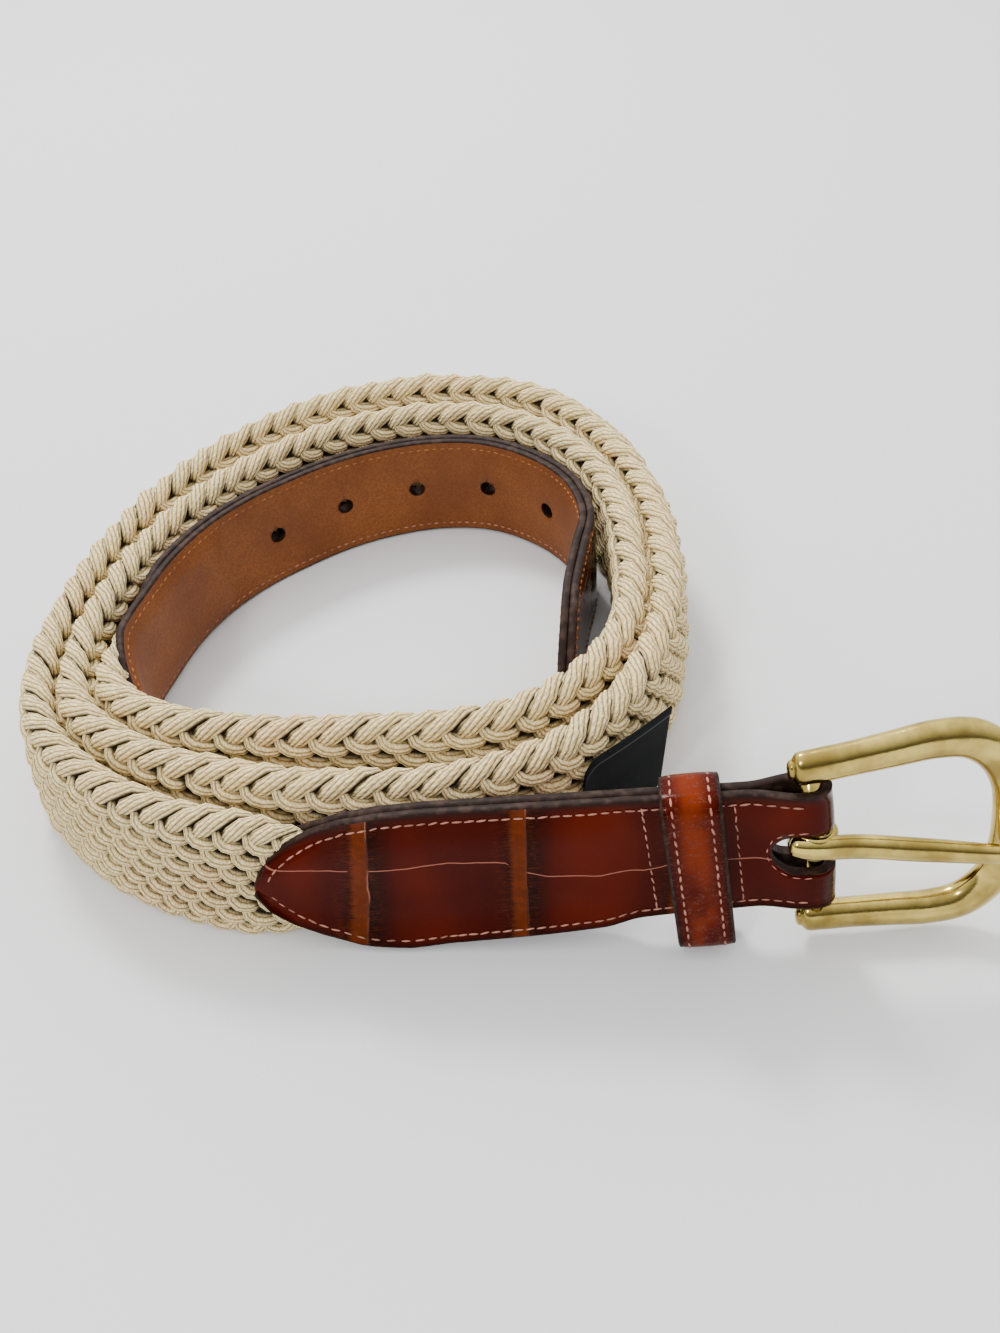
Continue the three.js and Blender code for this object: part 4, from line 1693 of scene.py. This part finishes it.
    def build(
        self, croc: Material, lining: Material, edge: Material, pale_thread: Material,
        tan_thread: Material) -> list[Piece]:
        """Builds the tab and the tip.

        Args:
            croc: The grained leather.
            lining: The lining leather.
            edge: The painted edges.
            pale_thread: The thread that shows pale.
            tan_thread: The thread in the leather's own colour.

        Returns:
            The pieces.
        """
        tab_ply = self.strip("buckle_tab", self.tab_path(), 1.0, 0.35)
        tab = piece("buckle_tab_leather", tab_ply, [croc, edge])
        cut(tab, self.slot_cutter())
        outer_ply = self.strip("tip_outer", self.tip_path(Side.OUTER), -1.0, 0.1)
        outer = piece("tip_outer_leather", outer_ply, [croc, edge])
        cut(outer, self.hole_cutter())
        inner_ply = self.strip("tip_lining", self.tip_path(Side.INNER), 1.0, 0.1)
        inner = piece("tip_lining_leather", inner_ply, [lining, edge])
        cut(inner, self.hole_cutter())
        rims = piece("hole_rims", joined("hole_rims", [self.hole_rims(side) for side in Side]), [edge])
        tab_stitches = piece("tab_stitches", self.tab_stitches(), [pale_thread])
        tip_upper = piece("tip_upper_stitches", self.tip_stitches(1.0), [tan_thread])
        tip_lower = piece("tip_lower_stitches", self.tip_stitches(-1.0), [pale_thread])
        for part, node, slot in (
            (tab, "buckle_tab", "croc_brown"),
            (outer, "tip_outer", "croc_brown"),
            (inner, "tip_lining", "lining_tan"),
        ):
            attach(part, Body.STRAP.value)
            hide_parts(node)
        for part, slot in (
            (rims, "croc_brown"),
            (tab_stitches, "croc_brown"),
            (tip_upper, "lining_tan"),
            (tip_lower, "lining_tan"),
        ):
            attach(part, Body.STRAP.value)
        return [tab, outer, inner, rims, tab_stitches, tip_upper, tip_lower]

    def tab_face(self, side: float, run: float, height: float) -> float:
        """How far the tab's face stands off the strap's middle, where it is sewn.

        Args:
            side: 1 for the front ply, -1 for the back one.
            run: How far along the strap.
            height: How far above its middle.

        Returns:
            The distance, with the stitches' stand.
        """
        station = self.tab_station(run, max(self.tab_edge(run), 0.5))
        level = height - station.raised
        edge = station.pinch if level > 0 else (station.foot if side > 0 else 0.0)
        drawn = float(self.drawn_in(level, station.half)) * edge
        return station.across - drawn + self.thickness / 2 + TAB_STITCH.stand

    def tab_stitches(self) -> Mesh:
        """The stitching on the tab: round its edge, across it twice, and round the slot.

        Returns:
            The mesh.
        """
        end = self.band.tab_length - self.stitch_ends
        spots = []
        for side in (1.0, -1.0):
            face = partial(self.tab_face, side)
            for sign in (1.0, -1.0):
                line = self.outline_line(1.5, end, self.tab_edge, sign, self.tab_raise)
                spots += self.along_line(line, face, side)
            for run in self.cross_lines:
                reach, raised = self.tab_edge(run) - self.stitch_inset, self.tab_raise(run)
                spots += self.along_line([(run, raised - reach), (run, raised + reach)], face, side)
        middle, reach = self.prong_root / 2, self.slot_height / 2 + self.slot_line
        centre = self.slot_length - self.slot_height / 2
        turns = np.linspace(math.pi / 2, -math.pi / 2, 9)
        arc = [(centre + reach * math.cos(turn), middle + reach * math.sin(turn)) for turn in turns]
        line = [(0.8, middle + reach), *arc, (0.8, middle - reach)]
        spots += self.along_line(line, partial(self.tab_face, 1.0), 1.0)
        return self.stitches("tab_stitches", spots, TAB_STITCH)

    def tip_face(self, side: Side, run: float, height: float) -> float:
        """How far the tip's face stands off the strap's middle, where it is sewn."""
        cover = self.cover(run)
        drawn = float(self.drawn_in(height, self.tip_half(side, run))) * self.pinch(cover)
        return cover - drawn + self.thickness / 2 + TIP_STITCH.stand

    def tip_stitches(self, sign: float) -> Mesh:
        """The stitching along one edge of the tip, on both of its faces.

        Args:
            sign: 1 for the upper edge, -1 for the lower.

        Returns:
            The mesh.
        """
        spots = []
        end = self.route.length - self.stitch_ends
        for side in Side:
            start = self.tip_start(side) + self.stitch_ends
            line = self.outline_line(start, end, partial(self.tip_half, side), sign, lambda run: 0.0)
            spots += self.along_line(line, partial(self.tip_face, side), float(side.value))
        return self.stitches("tip_stitches", spots, TIP_STITCH)


@dataclass
class BarFrame:
    """The tab's own frame: origin on the buckle's bar, x to the toe, y to the back, z up."""

    route: StrapRoute

    def matrix(self, swing: float = 0.0, skew: float = 0.0, raised: float = 0.0) -> Matrix:
        """Carries millimetres in the tab's frame to metres in the row frame.

        Args:
            swing: Degrees that the buckle is turned back on its bar.
            skew: Degrees that a piece dips towards its toe.
            raised: How far a piece sits above the bar's middle.

        Returns:
            The matrix.
        """
        frame = self.route.exact(0.0)
        base = placed(frame["middle"], -frame["along"], -frame["out"], frame["up"])
        turned = Matrix.Rotation(math.radians(swing), 4, "Z")
        lifted = Matrix.Translation((0.0, 0.0, raised))
        return base @ turned @ lifted @ Matrix.Rotation(math.radians(skew), 4, "Y")

    def lay(self, points: Array, **pose: float) -> Array:
        """Points in the tab's frame, carried to millimetres in the row frame."""
        matrix = np.array(self.matrix(**pose)) / MM
        return points @ matrix[:3, :3].T + matrix[:3, 3]


@dataclass
class Keeper:
    """The leather loop round the tab."""

    bar: BarFrame
    leather: Leather
    length: float = 11.6
    thickness: float = 1.7
    front_room: float = 2.8
    spare_above: float = 0.9
    spare_below: float = 5.2
    from_bar: float = 22.4
    round: float = 1.8
    stitch_inset: float = 2.2
    inner_gap: float = 0.05
    rim: float = 0.6
    swell: float = 0.28
    sunk: float = 0.1
    front_points: int = 13
    back_points: int = 7
    rim_points: int = 5
    stitch_ends: float = 0.6

    def loop(self, grow: float, count: int = 96) -> Array:
        """The loop's inner line, grown outwards: across and up, anticlockwise from the front.

        Args:
            grow: How far it is grown.
            count: How many equal steps it has.

        Returns:
            One row per step.
        """
        back = self.leather.ply_offset + self.leather.thickness / 2 + self.leather.fit_gap
        half = self.leather.tab_half(self.from_bar)
        x0, x1 = -back - self.front_room - grow, back + grow
        middle = self.leather.tab_raise(self.from_bar)
        y0, y1 = middle - half - self.spare_below - grow, middle + half + self.spare_above + grow
        r = self.round + grow
        corners = (
            (x0 + r, y0 + r, math.pi),
            (x1 - r, y0 + r, math.pi * 1.5),
            (x1 - r, y1 - r, 0.0),
            (x0 + r, y1 - r, math.pi / 2),
        )
        points = [
            (x + r * math.cos(start + step * math.pi / 20), y + r * math.sin(start + step * math.pi / 20))
            for x, y, start in corners for step in range(11)
        ]
        line = np.array([*points, points[0]])
        walked = walk(line)
        marks = np.linspace(0.0, walked[-1], count + 1)
        return np.stack([np.interp(marks, walked, line[:, axis]) for axis in (0, 1)], axis=-1)

    def build(self, leather: Material, edge: Material, thread: Material) -> list[Piece]:
        """Builds the keeper and its stitches.

        Args:
            leather: The keeper's leather.
            edge: The painted edges.
            thread: The stitches' thread.

        Returns:
            The pieces.
        """
        inner, outer = self.loop(self.inner_gap), self.loop(self.thickness)
        flat = self.length / 2 - self.rim
        turns = np.linspace(math.pi / 2, -math.pi / 2, self.rim_points + 2)[1:-1]
        ring = []
        for share in np.linspace(-1, 1, self.front_points):
            ring.append((share * flat, 1.0, self.swell * (1 - abs(share) ** 3) - self.sunk))
        for turn in turns:
            ring.append((flat + self.rim * math.cos(turn), 0.5 + 0.5 * math.sin(turn), 0.0))
        for share in np.linspace(1, -1, self.back_points):
            ring.append((share * flat, 0.0, 0.0))
        for turn in reversed(turns):
            ring.append((-flat - self.rim * math.cos(turn), 0.5 + 0.5 * math.sin(turn), 0.0))
        ring.append(ring[0])
        ring_table = np.array(ring)
        share = ring_table[None, :, 1:2]
        way = outer - inner
        way /= np.linalg.norm(way, axis=1)[:, None]
        section = inner[:, None] * (1 - share) + outer[:, None] * share
        section = section + way[:, None] * ring_table[None, :, 2:3]
        x = np.broadcast_to(ring_table[None, :, 0] - self.from_bar, section.shape[:2])
        points = np.stack([x, section[..., 0], section[..., 1]], axis=-1)
        walked = np.linspace(0.0, 1.0, len(inner))[:, None] * np.ones((1, len(ring)))
        uv = np.stack([ring_table[None, :, 0] / 100 + np.zeros_like(walked), walked], axis=-1)
        from_edge = np.broadcast_to(self.length / 2 - np.abs(ring_table[None, :, 0]), walked.shape)
        attributes = {"run": np.broadcast_to(ring_table[None, :, 0], walked.shape), "rim": from_edge}
        laid = self.bar.lay(points.reshape(-1, 3)).reshape(points.shape)
        mesh = grid_mesh("keeper", Patch(laid, uv, attributes))
        column = np.arange(len(mesh.polygons)) // (len(inner) - 1)
        behind = self.front_points + self.rim_points
        back = (column >= behind) & (column < behind + self.back_points - 1)
        painted = (column >= self.front_points - 1) & ~back
        mesh.polygons.foreach_set("material_index", painted.astype(np.int32))
        loop = piece("keeper_loop", smooth(reworked(mesh, close_up)), [leather, edge])
        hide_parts("keeper")
        sewn = piece("keeper_stitches", self._stitches(outer), [thread])
        for part in (loop, sewn):
            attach(part, Body.STRAP.value)
        return [loop, sewn]

    def _stitches(self, outer: Array) -> Mesh:
        """The two lines of stitches that run round the keeper.

        Args:
            outer: The keeper's outer line.

        Returns:
            The mesh.
        """
        walked, step = walk(outer), self.leather.stitch_step
        marks = np.arange(self.stitch_ends, walked[-1] - self.stitch_ends, self.leather.stitch_pitch)
        spots = []
        for x in (-self.length / 2 + self.stitch_inset, self.length / 2 - self.stitch_inset):
            for mark in marks:
                ends = []
                for at in (mark - step, mark + step):
                    across, up = (np.interp(at, walked, outer[:, axis]) for axis in (0, 1))
                    ends.append(np.array([x - self.from_bar, across, up]))
                laid = self.bar.lay(np.array(ends))
                way = (laid[1] - laid[0]) / np.linalg.norm(laid[1] - laid[0])
                side = self.bar.lay(np.array([ends[0], ends[0] + np.array([1.0, 0.0, 0.0])]))
                normal = np.cross(way, side[1] - side[0])
                normal /= np.linalg.norm(normal)
                spots.append(((laid[0] + laid[1]) / 2 + normal * KEEPER_STITCH.stand, way, normal))
        return self.leather.stitches("keeper_stitches", spots, KEEPER_STITCH)


# Buckle


class FrameRow(NamedTuple):
    """A station of half the frame, heel to toe, as shares of its length, half height and section."""

    along: float
    up: float
    size: float


FRAME_ROWS = rows_of(
    FrameRow, (-0.085, 0.9, 0.55), (-0.06, 0.9, 0.86), (0.02, 0.905, 0.95), (0.2, 0.93, 0.95),
    (0.4, 0.965, 1.0), (0.6, 1.0, 1.05), (0.77, 0.955, 1.08), (0.9, 0.76, 1.05), (0.98, 0.44, 0.98),
    (1.0, 0.0, 0.95))


class RodRow(NamedTuple):
    """A station of a rod in the tab's frame: its place and its section, in millimetres."""

    x: float
    y: float
    z: float
    wide: float
    thick: float


@dataclass
class Buckle:
    """The brass frame with its bar, and the prong."""

    bar: BarFrame
    leather: Leather
    length: float = 38.0
    half_height: float = 22.5
    arm_width: float = 7.8
    arm_thickness: float = 5.3
    bar_radius: float = 1.8
    bar_share: float = 0.86
    swing: float = 5.0
    prong_skew: float = 12.0
    prong_thickness: float = 3.8
    prong_loop_wall: float = 1.8
    prong_loop_width: float = 5.6
    prong_loop_soft: float = 0.5
    boss_radius: float = 1.7
    boss_taper: float = 0.85
    boss_height: float = 0.7
    boss_up: float = 7.2

    def rod(self, name: str, rows: Sequence[RodRow], sides: int, boxy: float, **pose: float) -> Mesh:
        """A closed rod through rounded rings.

        Args:
            name: The mesh's name.
            rows: Its stations.
            sides: Points round each ring.
            boxy: 2 for an ellipse, more for a squarer section.
            pose: How the rod is turned in the tab's frame.

        Returns:
            The mesh.
        """
        table = np.array(rows)
        centre = table[:, :3]
        way = np.gradient(centre, axis=0)
        way /= np.linalg.norm(way, axis=1)[:, None]
        across = np.cross(way, [0.0, 1.0, 0.0])
        across /= np.linalg.norm(across, axis=1)[:, None]
        deep = np.cross(way, across)
        angle = np.linspace(0.0, 2 * math.pi, sides + 1)
        reach = (np.abs(np.cos(angle)) ** boxy + np.abs(np.sin(angle)) ** boxy) ** (-1 / boxy)
        wide = (np.cos(angle) * reach)[None, :, None] * table[:, 3, None, None] / 2
        thick = (np.sin(angle) * reach)[None, :, None] * table[:, 4, None, None] / 2
        points = centre[:, None] + across[:, None] * wide + deep[:, None] * thick
        points = self.bar.lay(points.reshape(-1, 3), **pose).reshape(points.shape)
        return smooth(reworked(grid_mesh(name, Patch(points)), close_up))

    def frame_rows(self, steps: int = 150) -> list[RodRow]:
        """The frame's centre line from heel to heel, with blunt rounded ends.

        Args:
            steps: How many stations it has.

        Returns:
            The stations.
        """
        half = [(row.along * self.length, row.up * self.half_height, row.size) for row in FRAME_ROWS]
        mirrored = [(x, -z, size) for x, z, size in reversed(half[:-1])]
        line = centripetal(np.array(half + mirrored), np.linspace(0.0, 1.0, steps))
        rows = [RodRow(x, 0.0, z, self.arm_width * s, self.arm_thickness * s) for x, z, s in line]
        return self.blunt(rows, 1.0)

    @staticmethod
    def blunt(rows: list[RodRow], reach: float) -> list[RodRow]:
        """Rounds a rod's two ends off over a short reach.

        Args:
            rows: The rod's stations.
            reach: How far its ends go on.

        Returns:
            The stations with both ends.
        """
        ends = []
        for first, second in ((rows[0], rows[1]), (rows[-1], rows[-2])):
            way = np.array(first[:3]) - np.array(second[:3])
            way /= np.linalg.norm(way)
            cap = []
            for angle in np.linspace(0.0, math.pi / 2, 7)[1:]:
                place = np.array(first[:3]) + way * reach * math.sin(angle)
                share = max(math.cos(angle) ** 0.7, 0.04)
                cap.append(RodRow(*place, first.wide * share, first.thick * share))
            ends.append(cap)
        return [*reversed(ends[0]), *rows, *ends[1]]

    def prong_rows(self) -> list[RodRow]:
        """The prong's rod, from its blunt root over the bar to its tip on the toe.

        Returns:
            The stations.
        """
        reach = self.length + self.arm_width * 0.3
        rest = (self.arm_thickness * 0.95 + self.prong_thickness) / 2 + self.leather.fit_gap
        plan = np.array([
            (-3.6, -2.9, 4.6, 3.4), (-1.5, -3.3, 5.2, 3.6), (2.0, -3.3, 5.4, 3.7),
            (6.0, -2.9, 5.4, 3.8), (11.0, -2.9, 5.3, 3.8), (reach * 0.45, -rest * 0.74, 5.3, 3.7),
            (reach * 0.6, -rest * 0.83, 5.1, 3.5), (reach * 0.75, -rest * 0.94, 4.7, 3.2),
            (reach * 0.88, -rest, 4.2, 2.9), (reach - 1.8, -rest, 3.6, 2.6)])
        line = centripetal(plan, np.linspace(0.0, 1.0, 60))
        rows = [RodRow(x, y, 0.0, wide, thick) for x, y, wide, thick in line]
        return self.blunt(rows, 1.5)

    def loop(self) -> Mesh:
        """The prong's loop round the bar, spun from its section.

        Returns:
            The mesh.
        """
        half, soft = self.prong_loop_width / 2, self.prong_loop_soft
        inner = self.bar_radius + self.leather.fit_gap + half * math.tan(math.radians(self.prong_skew))
        outer = inner + self.prong_loop_wall
        work = bmesh.new()
        section = [
            (inner, -half + soft), (inner, half - soft), (inner + soft, half), (outer - soft, half),
            (outer, half - soft), (outer, -half + soft), (outer - soft, -half), (inner + soft, -half)]
        verts = [work.verts.new((x, 0.0, z)) for x, z in section]
        edges = [work.edges.new((a, b)) for a, b in zip(verts, verts[1:] + verts[:1])]
        bmesh.ops.spin(
            work, geom=verts + edges, cent=(0, 0, 0), axis=(0, 0, 1), angle=2 * math.pi, steps=40,
            use_merge=True)
        bmesh.ops.remove_doubles(work, verts=work.verts[:], dist=1e-4)
        matrix = self.bar.matrix(swing=self.swing, skew=self.prong_skew, raised=self.leather.prong_root)
        bmesh.ops.transform(work, matrix=matrix, verts=work.verts[:])
        bmesh.ops.recalc_face_normals(work, faces=work.faces[:])
        return smooth(mesh_of("prong_loop", work))

    def boss(self) -> Mesh:
        """The small round boss on the toe's front.

        Returns:
            The mesh.
        """
        work = bmesh.new()
        spot = Matrix.Translation((self.length * 0.985, -self.arm_thickness * 0.47, self.boss_up))
        turn = Matrix.Rotation(math.radians(90), 4, "X")
        matrix = self.bar.matrix(swing=self.swing) @ spot @ turn
        bmesh.ops.create_cone(
            work, cap_ends=True, segments=24, radius1=self.boss_radius,
            radius2=self.boss_radius * self.boss_taper, depth=self.boss_height, matrix=matrix)
        return mesh_of("toe_boss", work)

    def build(self, brass: Material, prong_brass: Material) -> list[Piece]:
        """Builds the buckle's frame and its prong.

        Args:
            brass: The frame's finish.
            prong_brass: The prong's finish.

        Returns:
            The pieces.
        """
        reach = self.half_height * self.bar_share
        bar = [RodRow(0, 0, z, self.bar_radius * 2, self.bar_radius * 2) for z in (-reach, 0.0, reach)]
        loop = self.rod("frame_loop", self.frame_rows(), 28, 2.1, swing=self.swing)
        rod = self.rod("frame_bar", bar, 20, 2.0, swing=self.swing)
        frame = piece("brass_frame", joined("brass_frame", [loop, rod, self.boss()]), [brass])
        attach(frame, Body.BUCKLE.value)
        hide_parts("buckle_frame")
        pose = {"swing": self.swing, "skew": self.prong_skew, "raised": self.leather.prong_root}
        body = self.rod("prong_rod", self.prong_rows(), 24, 2.2, **pose)
        prong = piece("brass_prong", joined("brass_prong", [body, self.loop()]), [prong_brass])
        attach(prong, Body.PRONG.value)
        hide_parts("prong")
        return [frame, prong]


# Label


@dataclass
class Label:
    """The small woven label, blank, sewn to the band's outer face at its turned-down left end."""

    band: Band
    length: float = 26.0
    height: float = 23.6
    top: float = 10.6
    turn: float = 328.5
    stand: float = 1.3
    cloth: float = 0.35
    hem: float = 2.2
    corner: float = 5.0
    corner_drop: float = 6.0
    slant: float = 3.0
    bend: float = 1.6

    def build(self, ribbon: Material) -> Piece:
        """Builds the label.

        Args:
            ribbon: The label's finish.

        Returns:
            The piece.
        """
        route = self.band.route
        sewn = route.exact(route.turn_run(self.turn))
        inner = route.band_thickness / 2 + self.stand
        bottom, middle, hem = self.top - self.height, self.top - self.height / 2, self.top - self.hem
        face, folded = inner + self.cloth, inner + self.cloth * 2
        table = np.array([
            (inner, bottom), (inner, middle), (inner, self.top - 0.4), (inner + 0.15, self.top),
            (face + 0.2, self.top), (folded, self.top - 0.3), (folded, hem), (face, hem - 0.15),
            (face, middle), (face, bottom), (inner, bottom)])
        level = (table[None, :, 1] - self.top + self.height) / self.height
        share = np.linspace(0.0, 1.0, 40)[:, None]
        near = np.clip(1.0 - share * self.length / self.corner, 0.0, 1.0)
        heights = table[None, :, 1] - self.corner_drop * (1.0 - np.sqrt(1.0 - near**2)) * level
        ahead = self.length * share - self.slant * share * (1.0 - level)
        stand = table[None, :, 0] - self.bend * share**2
        points = sewn["middle"] + sewn["up"] * heights[..., None]
        points = points - sewn["along"] * ahead[..., None] + sewn["out"] * stand[..., None]
        u = np.broadcast_to(share, points.shape[:2])
        v = np.broadcast_to(level, points.shape[:2])
        mesh = grid_mesh("label", Patch(points, np.stack([u, v], axis=-1)))
        label = piece("woven_label", smooth(reworked(mesh, close_up)), [ribbon])
        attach(label, Body.STRAP.value)
        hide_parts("label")
        return label


# Studio


@dataclass(frozen=True)
class Lamp:
    """A soft square lamp."""

    name: str
    place: tuple[float, float, float]
    size: float
    power: float

    def build(self, aim: Vector) -> None:
        """Hangs the lamp and points it.

        Args:
            aim: The point that it looks at.
        """
        data = bpy.data.lights.new(self.name, "AREA")
        data.shape = "SQUARE"
        data.size, data.energy = self.size, self.power
        lamp = bpy.data.objects.new(self.name, data)
        lamp.location = self.place
        lamp.rotation_euler = (aim - Vector(self.place)).to_track_quat("-Z", "Y").to_euler()
        bpy.context.scene.collection.objects.link(lamp)


LAMPS = (
    Lamp("overhead", (-0.25, 0.7, 0.95), 0.26, 14.0),
    Lamp("front fill", (-0.55, -0.8, 0.75), 0.16, 6.0),
)


@dataclass
class Studio:
    """The pale table, the lamps and the camera."""

    route: StrapRoute
    elevation: float = 43.0
    distance: float = 316.0
    focal_px: float = 1200.0
    photo_height: float = 1333.0
    roll: float = 6.0
    target: tuple[float, float] = (28.2, -9.4)
    sky: float = 2.35
    dim: float = 0.07
    dusk: float = -0.4
    bright_side: tuple[float, float, float] = (0.0, 0.55, 0.83)
    sensor: float = 36.0
    table_half: float = 2.5
    aim_height: float = 0.02

    def camera(self) -> None:
        """Sets the camera at the photograph's angle."""
        angle, roll = math.radians(self.elevation), math.radians(self.roll)
        aim = self.route.offset + np.array([*self.target, 0.0])
        place = aim + self.distance * np.array([0.0, -math.cos(angle), math.sin(angle)])
        forward = np.array([0.0, math.cos(angle), -math.sin(angle)])
        right, up = np.array([1.0, 0.0, 0.0]), np.array([0.0, math.sin(angle), math.cos(angle)])
        x = right * math.cos(roll) - up * math.sin(roll)
        y = right * math.sin(roll) + up * math.cos(roll)
        rows = np.eye(4)
        rows[:3, 0], rows[:3, 1], rows[:3, 2], rows[:3, 3] = x, y, -forward, place * MM
        data = bpy.data.cameras.new("photo camera")
        data.sensor_width = self.sensor
        data.lens = self.focal_px / self.photo_height * data.sensor_width
        camera = bpy.data.objects.new("photo camera", data)
        camera.matrix_world = Matrix(rows.tolist())
        bpy.context.scene.collection.objects.link(camera)
        bpy.context.scene.camera = camera

    def build(self, table: Material) -> None:
        """Builds the studio.

        Args:
            table: The table's finish.
        """
        self.camera()
        work = bmesh.new()
        bmesh.ops.create_grid(work, x_segments=4, y_segments=4, size=self.table_half)
        piece("table_top", mesh_of("table_top", work), [table])
        world = bpy.data.worlds.new("soft studio")
        world.use_nodes = True
        nodes, links = world.node_tree.nodes, world.node_tree.links
        sky = nodes["Background"]
        sky.inputs["Strength"].default_value = self.sky
        way = nodes.new("ShaderNodeTexCoord")
        towards = nodes.new("ShaderNodeVectorMath")
        towards.operation = "DOT_PRODUCT"
        towards.inputs[1].default_value = self.bright_side
        links.new(way.outputs["Generated"], towards.inputs[0])
        ramp = nodes.new("ShaderNodeMapRange")
        ramp.inputs["From Min"].default_value = self.dusk
        ramp.inputs["To Min"].default_value = self.dim
        links.new(towards.outputs["Value"], ramp.inputs["Value"])
        links.new(ramp.outputs["Result"], sky.inputs["Color"])
        bpy.context.scene.world = world
        for lamp in LAMPS:
            lamp.build(Vector((0.0, 0.0, self.aim_height)))


def main() -> None:
    """Loads the frame, builds each part of the belt round it, and sets the studio."""
    logging.basicConfig(level=logging.INFO, format="%(message)s")
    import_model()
    route = StrapRoute()
    band = Band(route)
    band.settle(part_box("braid_strap"))
    bar = BarFrame(route)
    leather = Leather(route, band)
    edge = EdgeFinish().build()
    croc = CrocFinish("croc leather").build()
    keeper_croc = KeeperFinish("keeper leather").build()
    pale_thread = ThreadFinish("pale thread", (0.42, 0.19, 0.135)).build()
    tan_thread = ThreadFinish("tan thread", (0.40, 0.15, 0.045)).build()
    built = [
        *Braid(band).build(CordFinish().build()),
        *leather.build(croc, LiningFinish().build(), edge, pale_thread, tan_thread),
        *Keeper(bar, leather).build(keeper_croc, edge, pale_thread),
        *Buckle(bar, leather).build(
            BrassFinish("frame brass").build(), BrassFinish("prong brass").build()),
        Label(band).build(WovenFinish().build()),
    ]
    for part in built:
        log.info("%s: %d faces", part.name, len(part.data.polygons))
    Studio(route).build(FloorFinish().build())


if __name__ == "__main__":
    main()
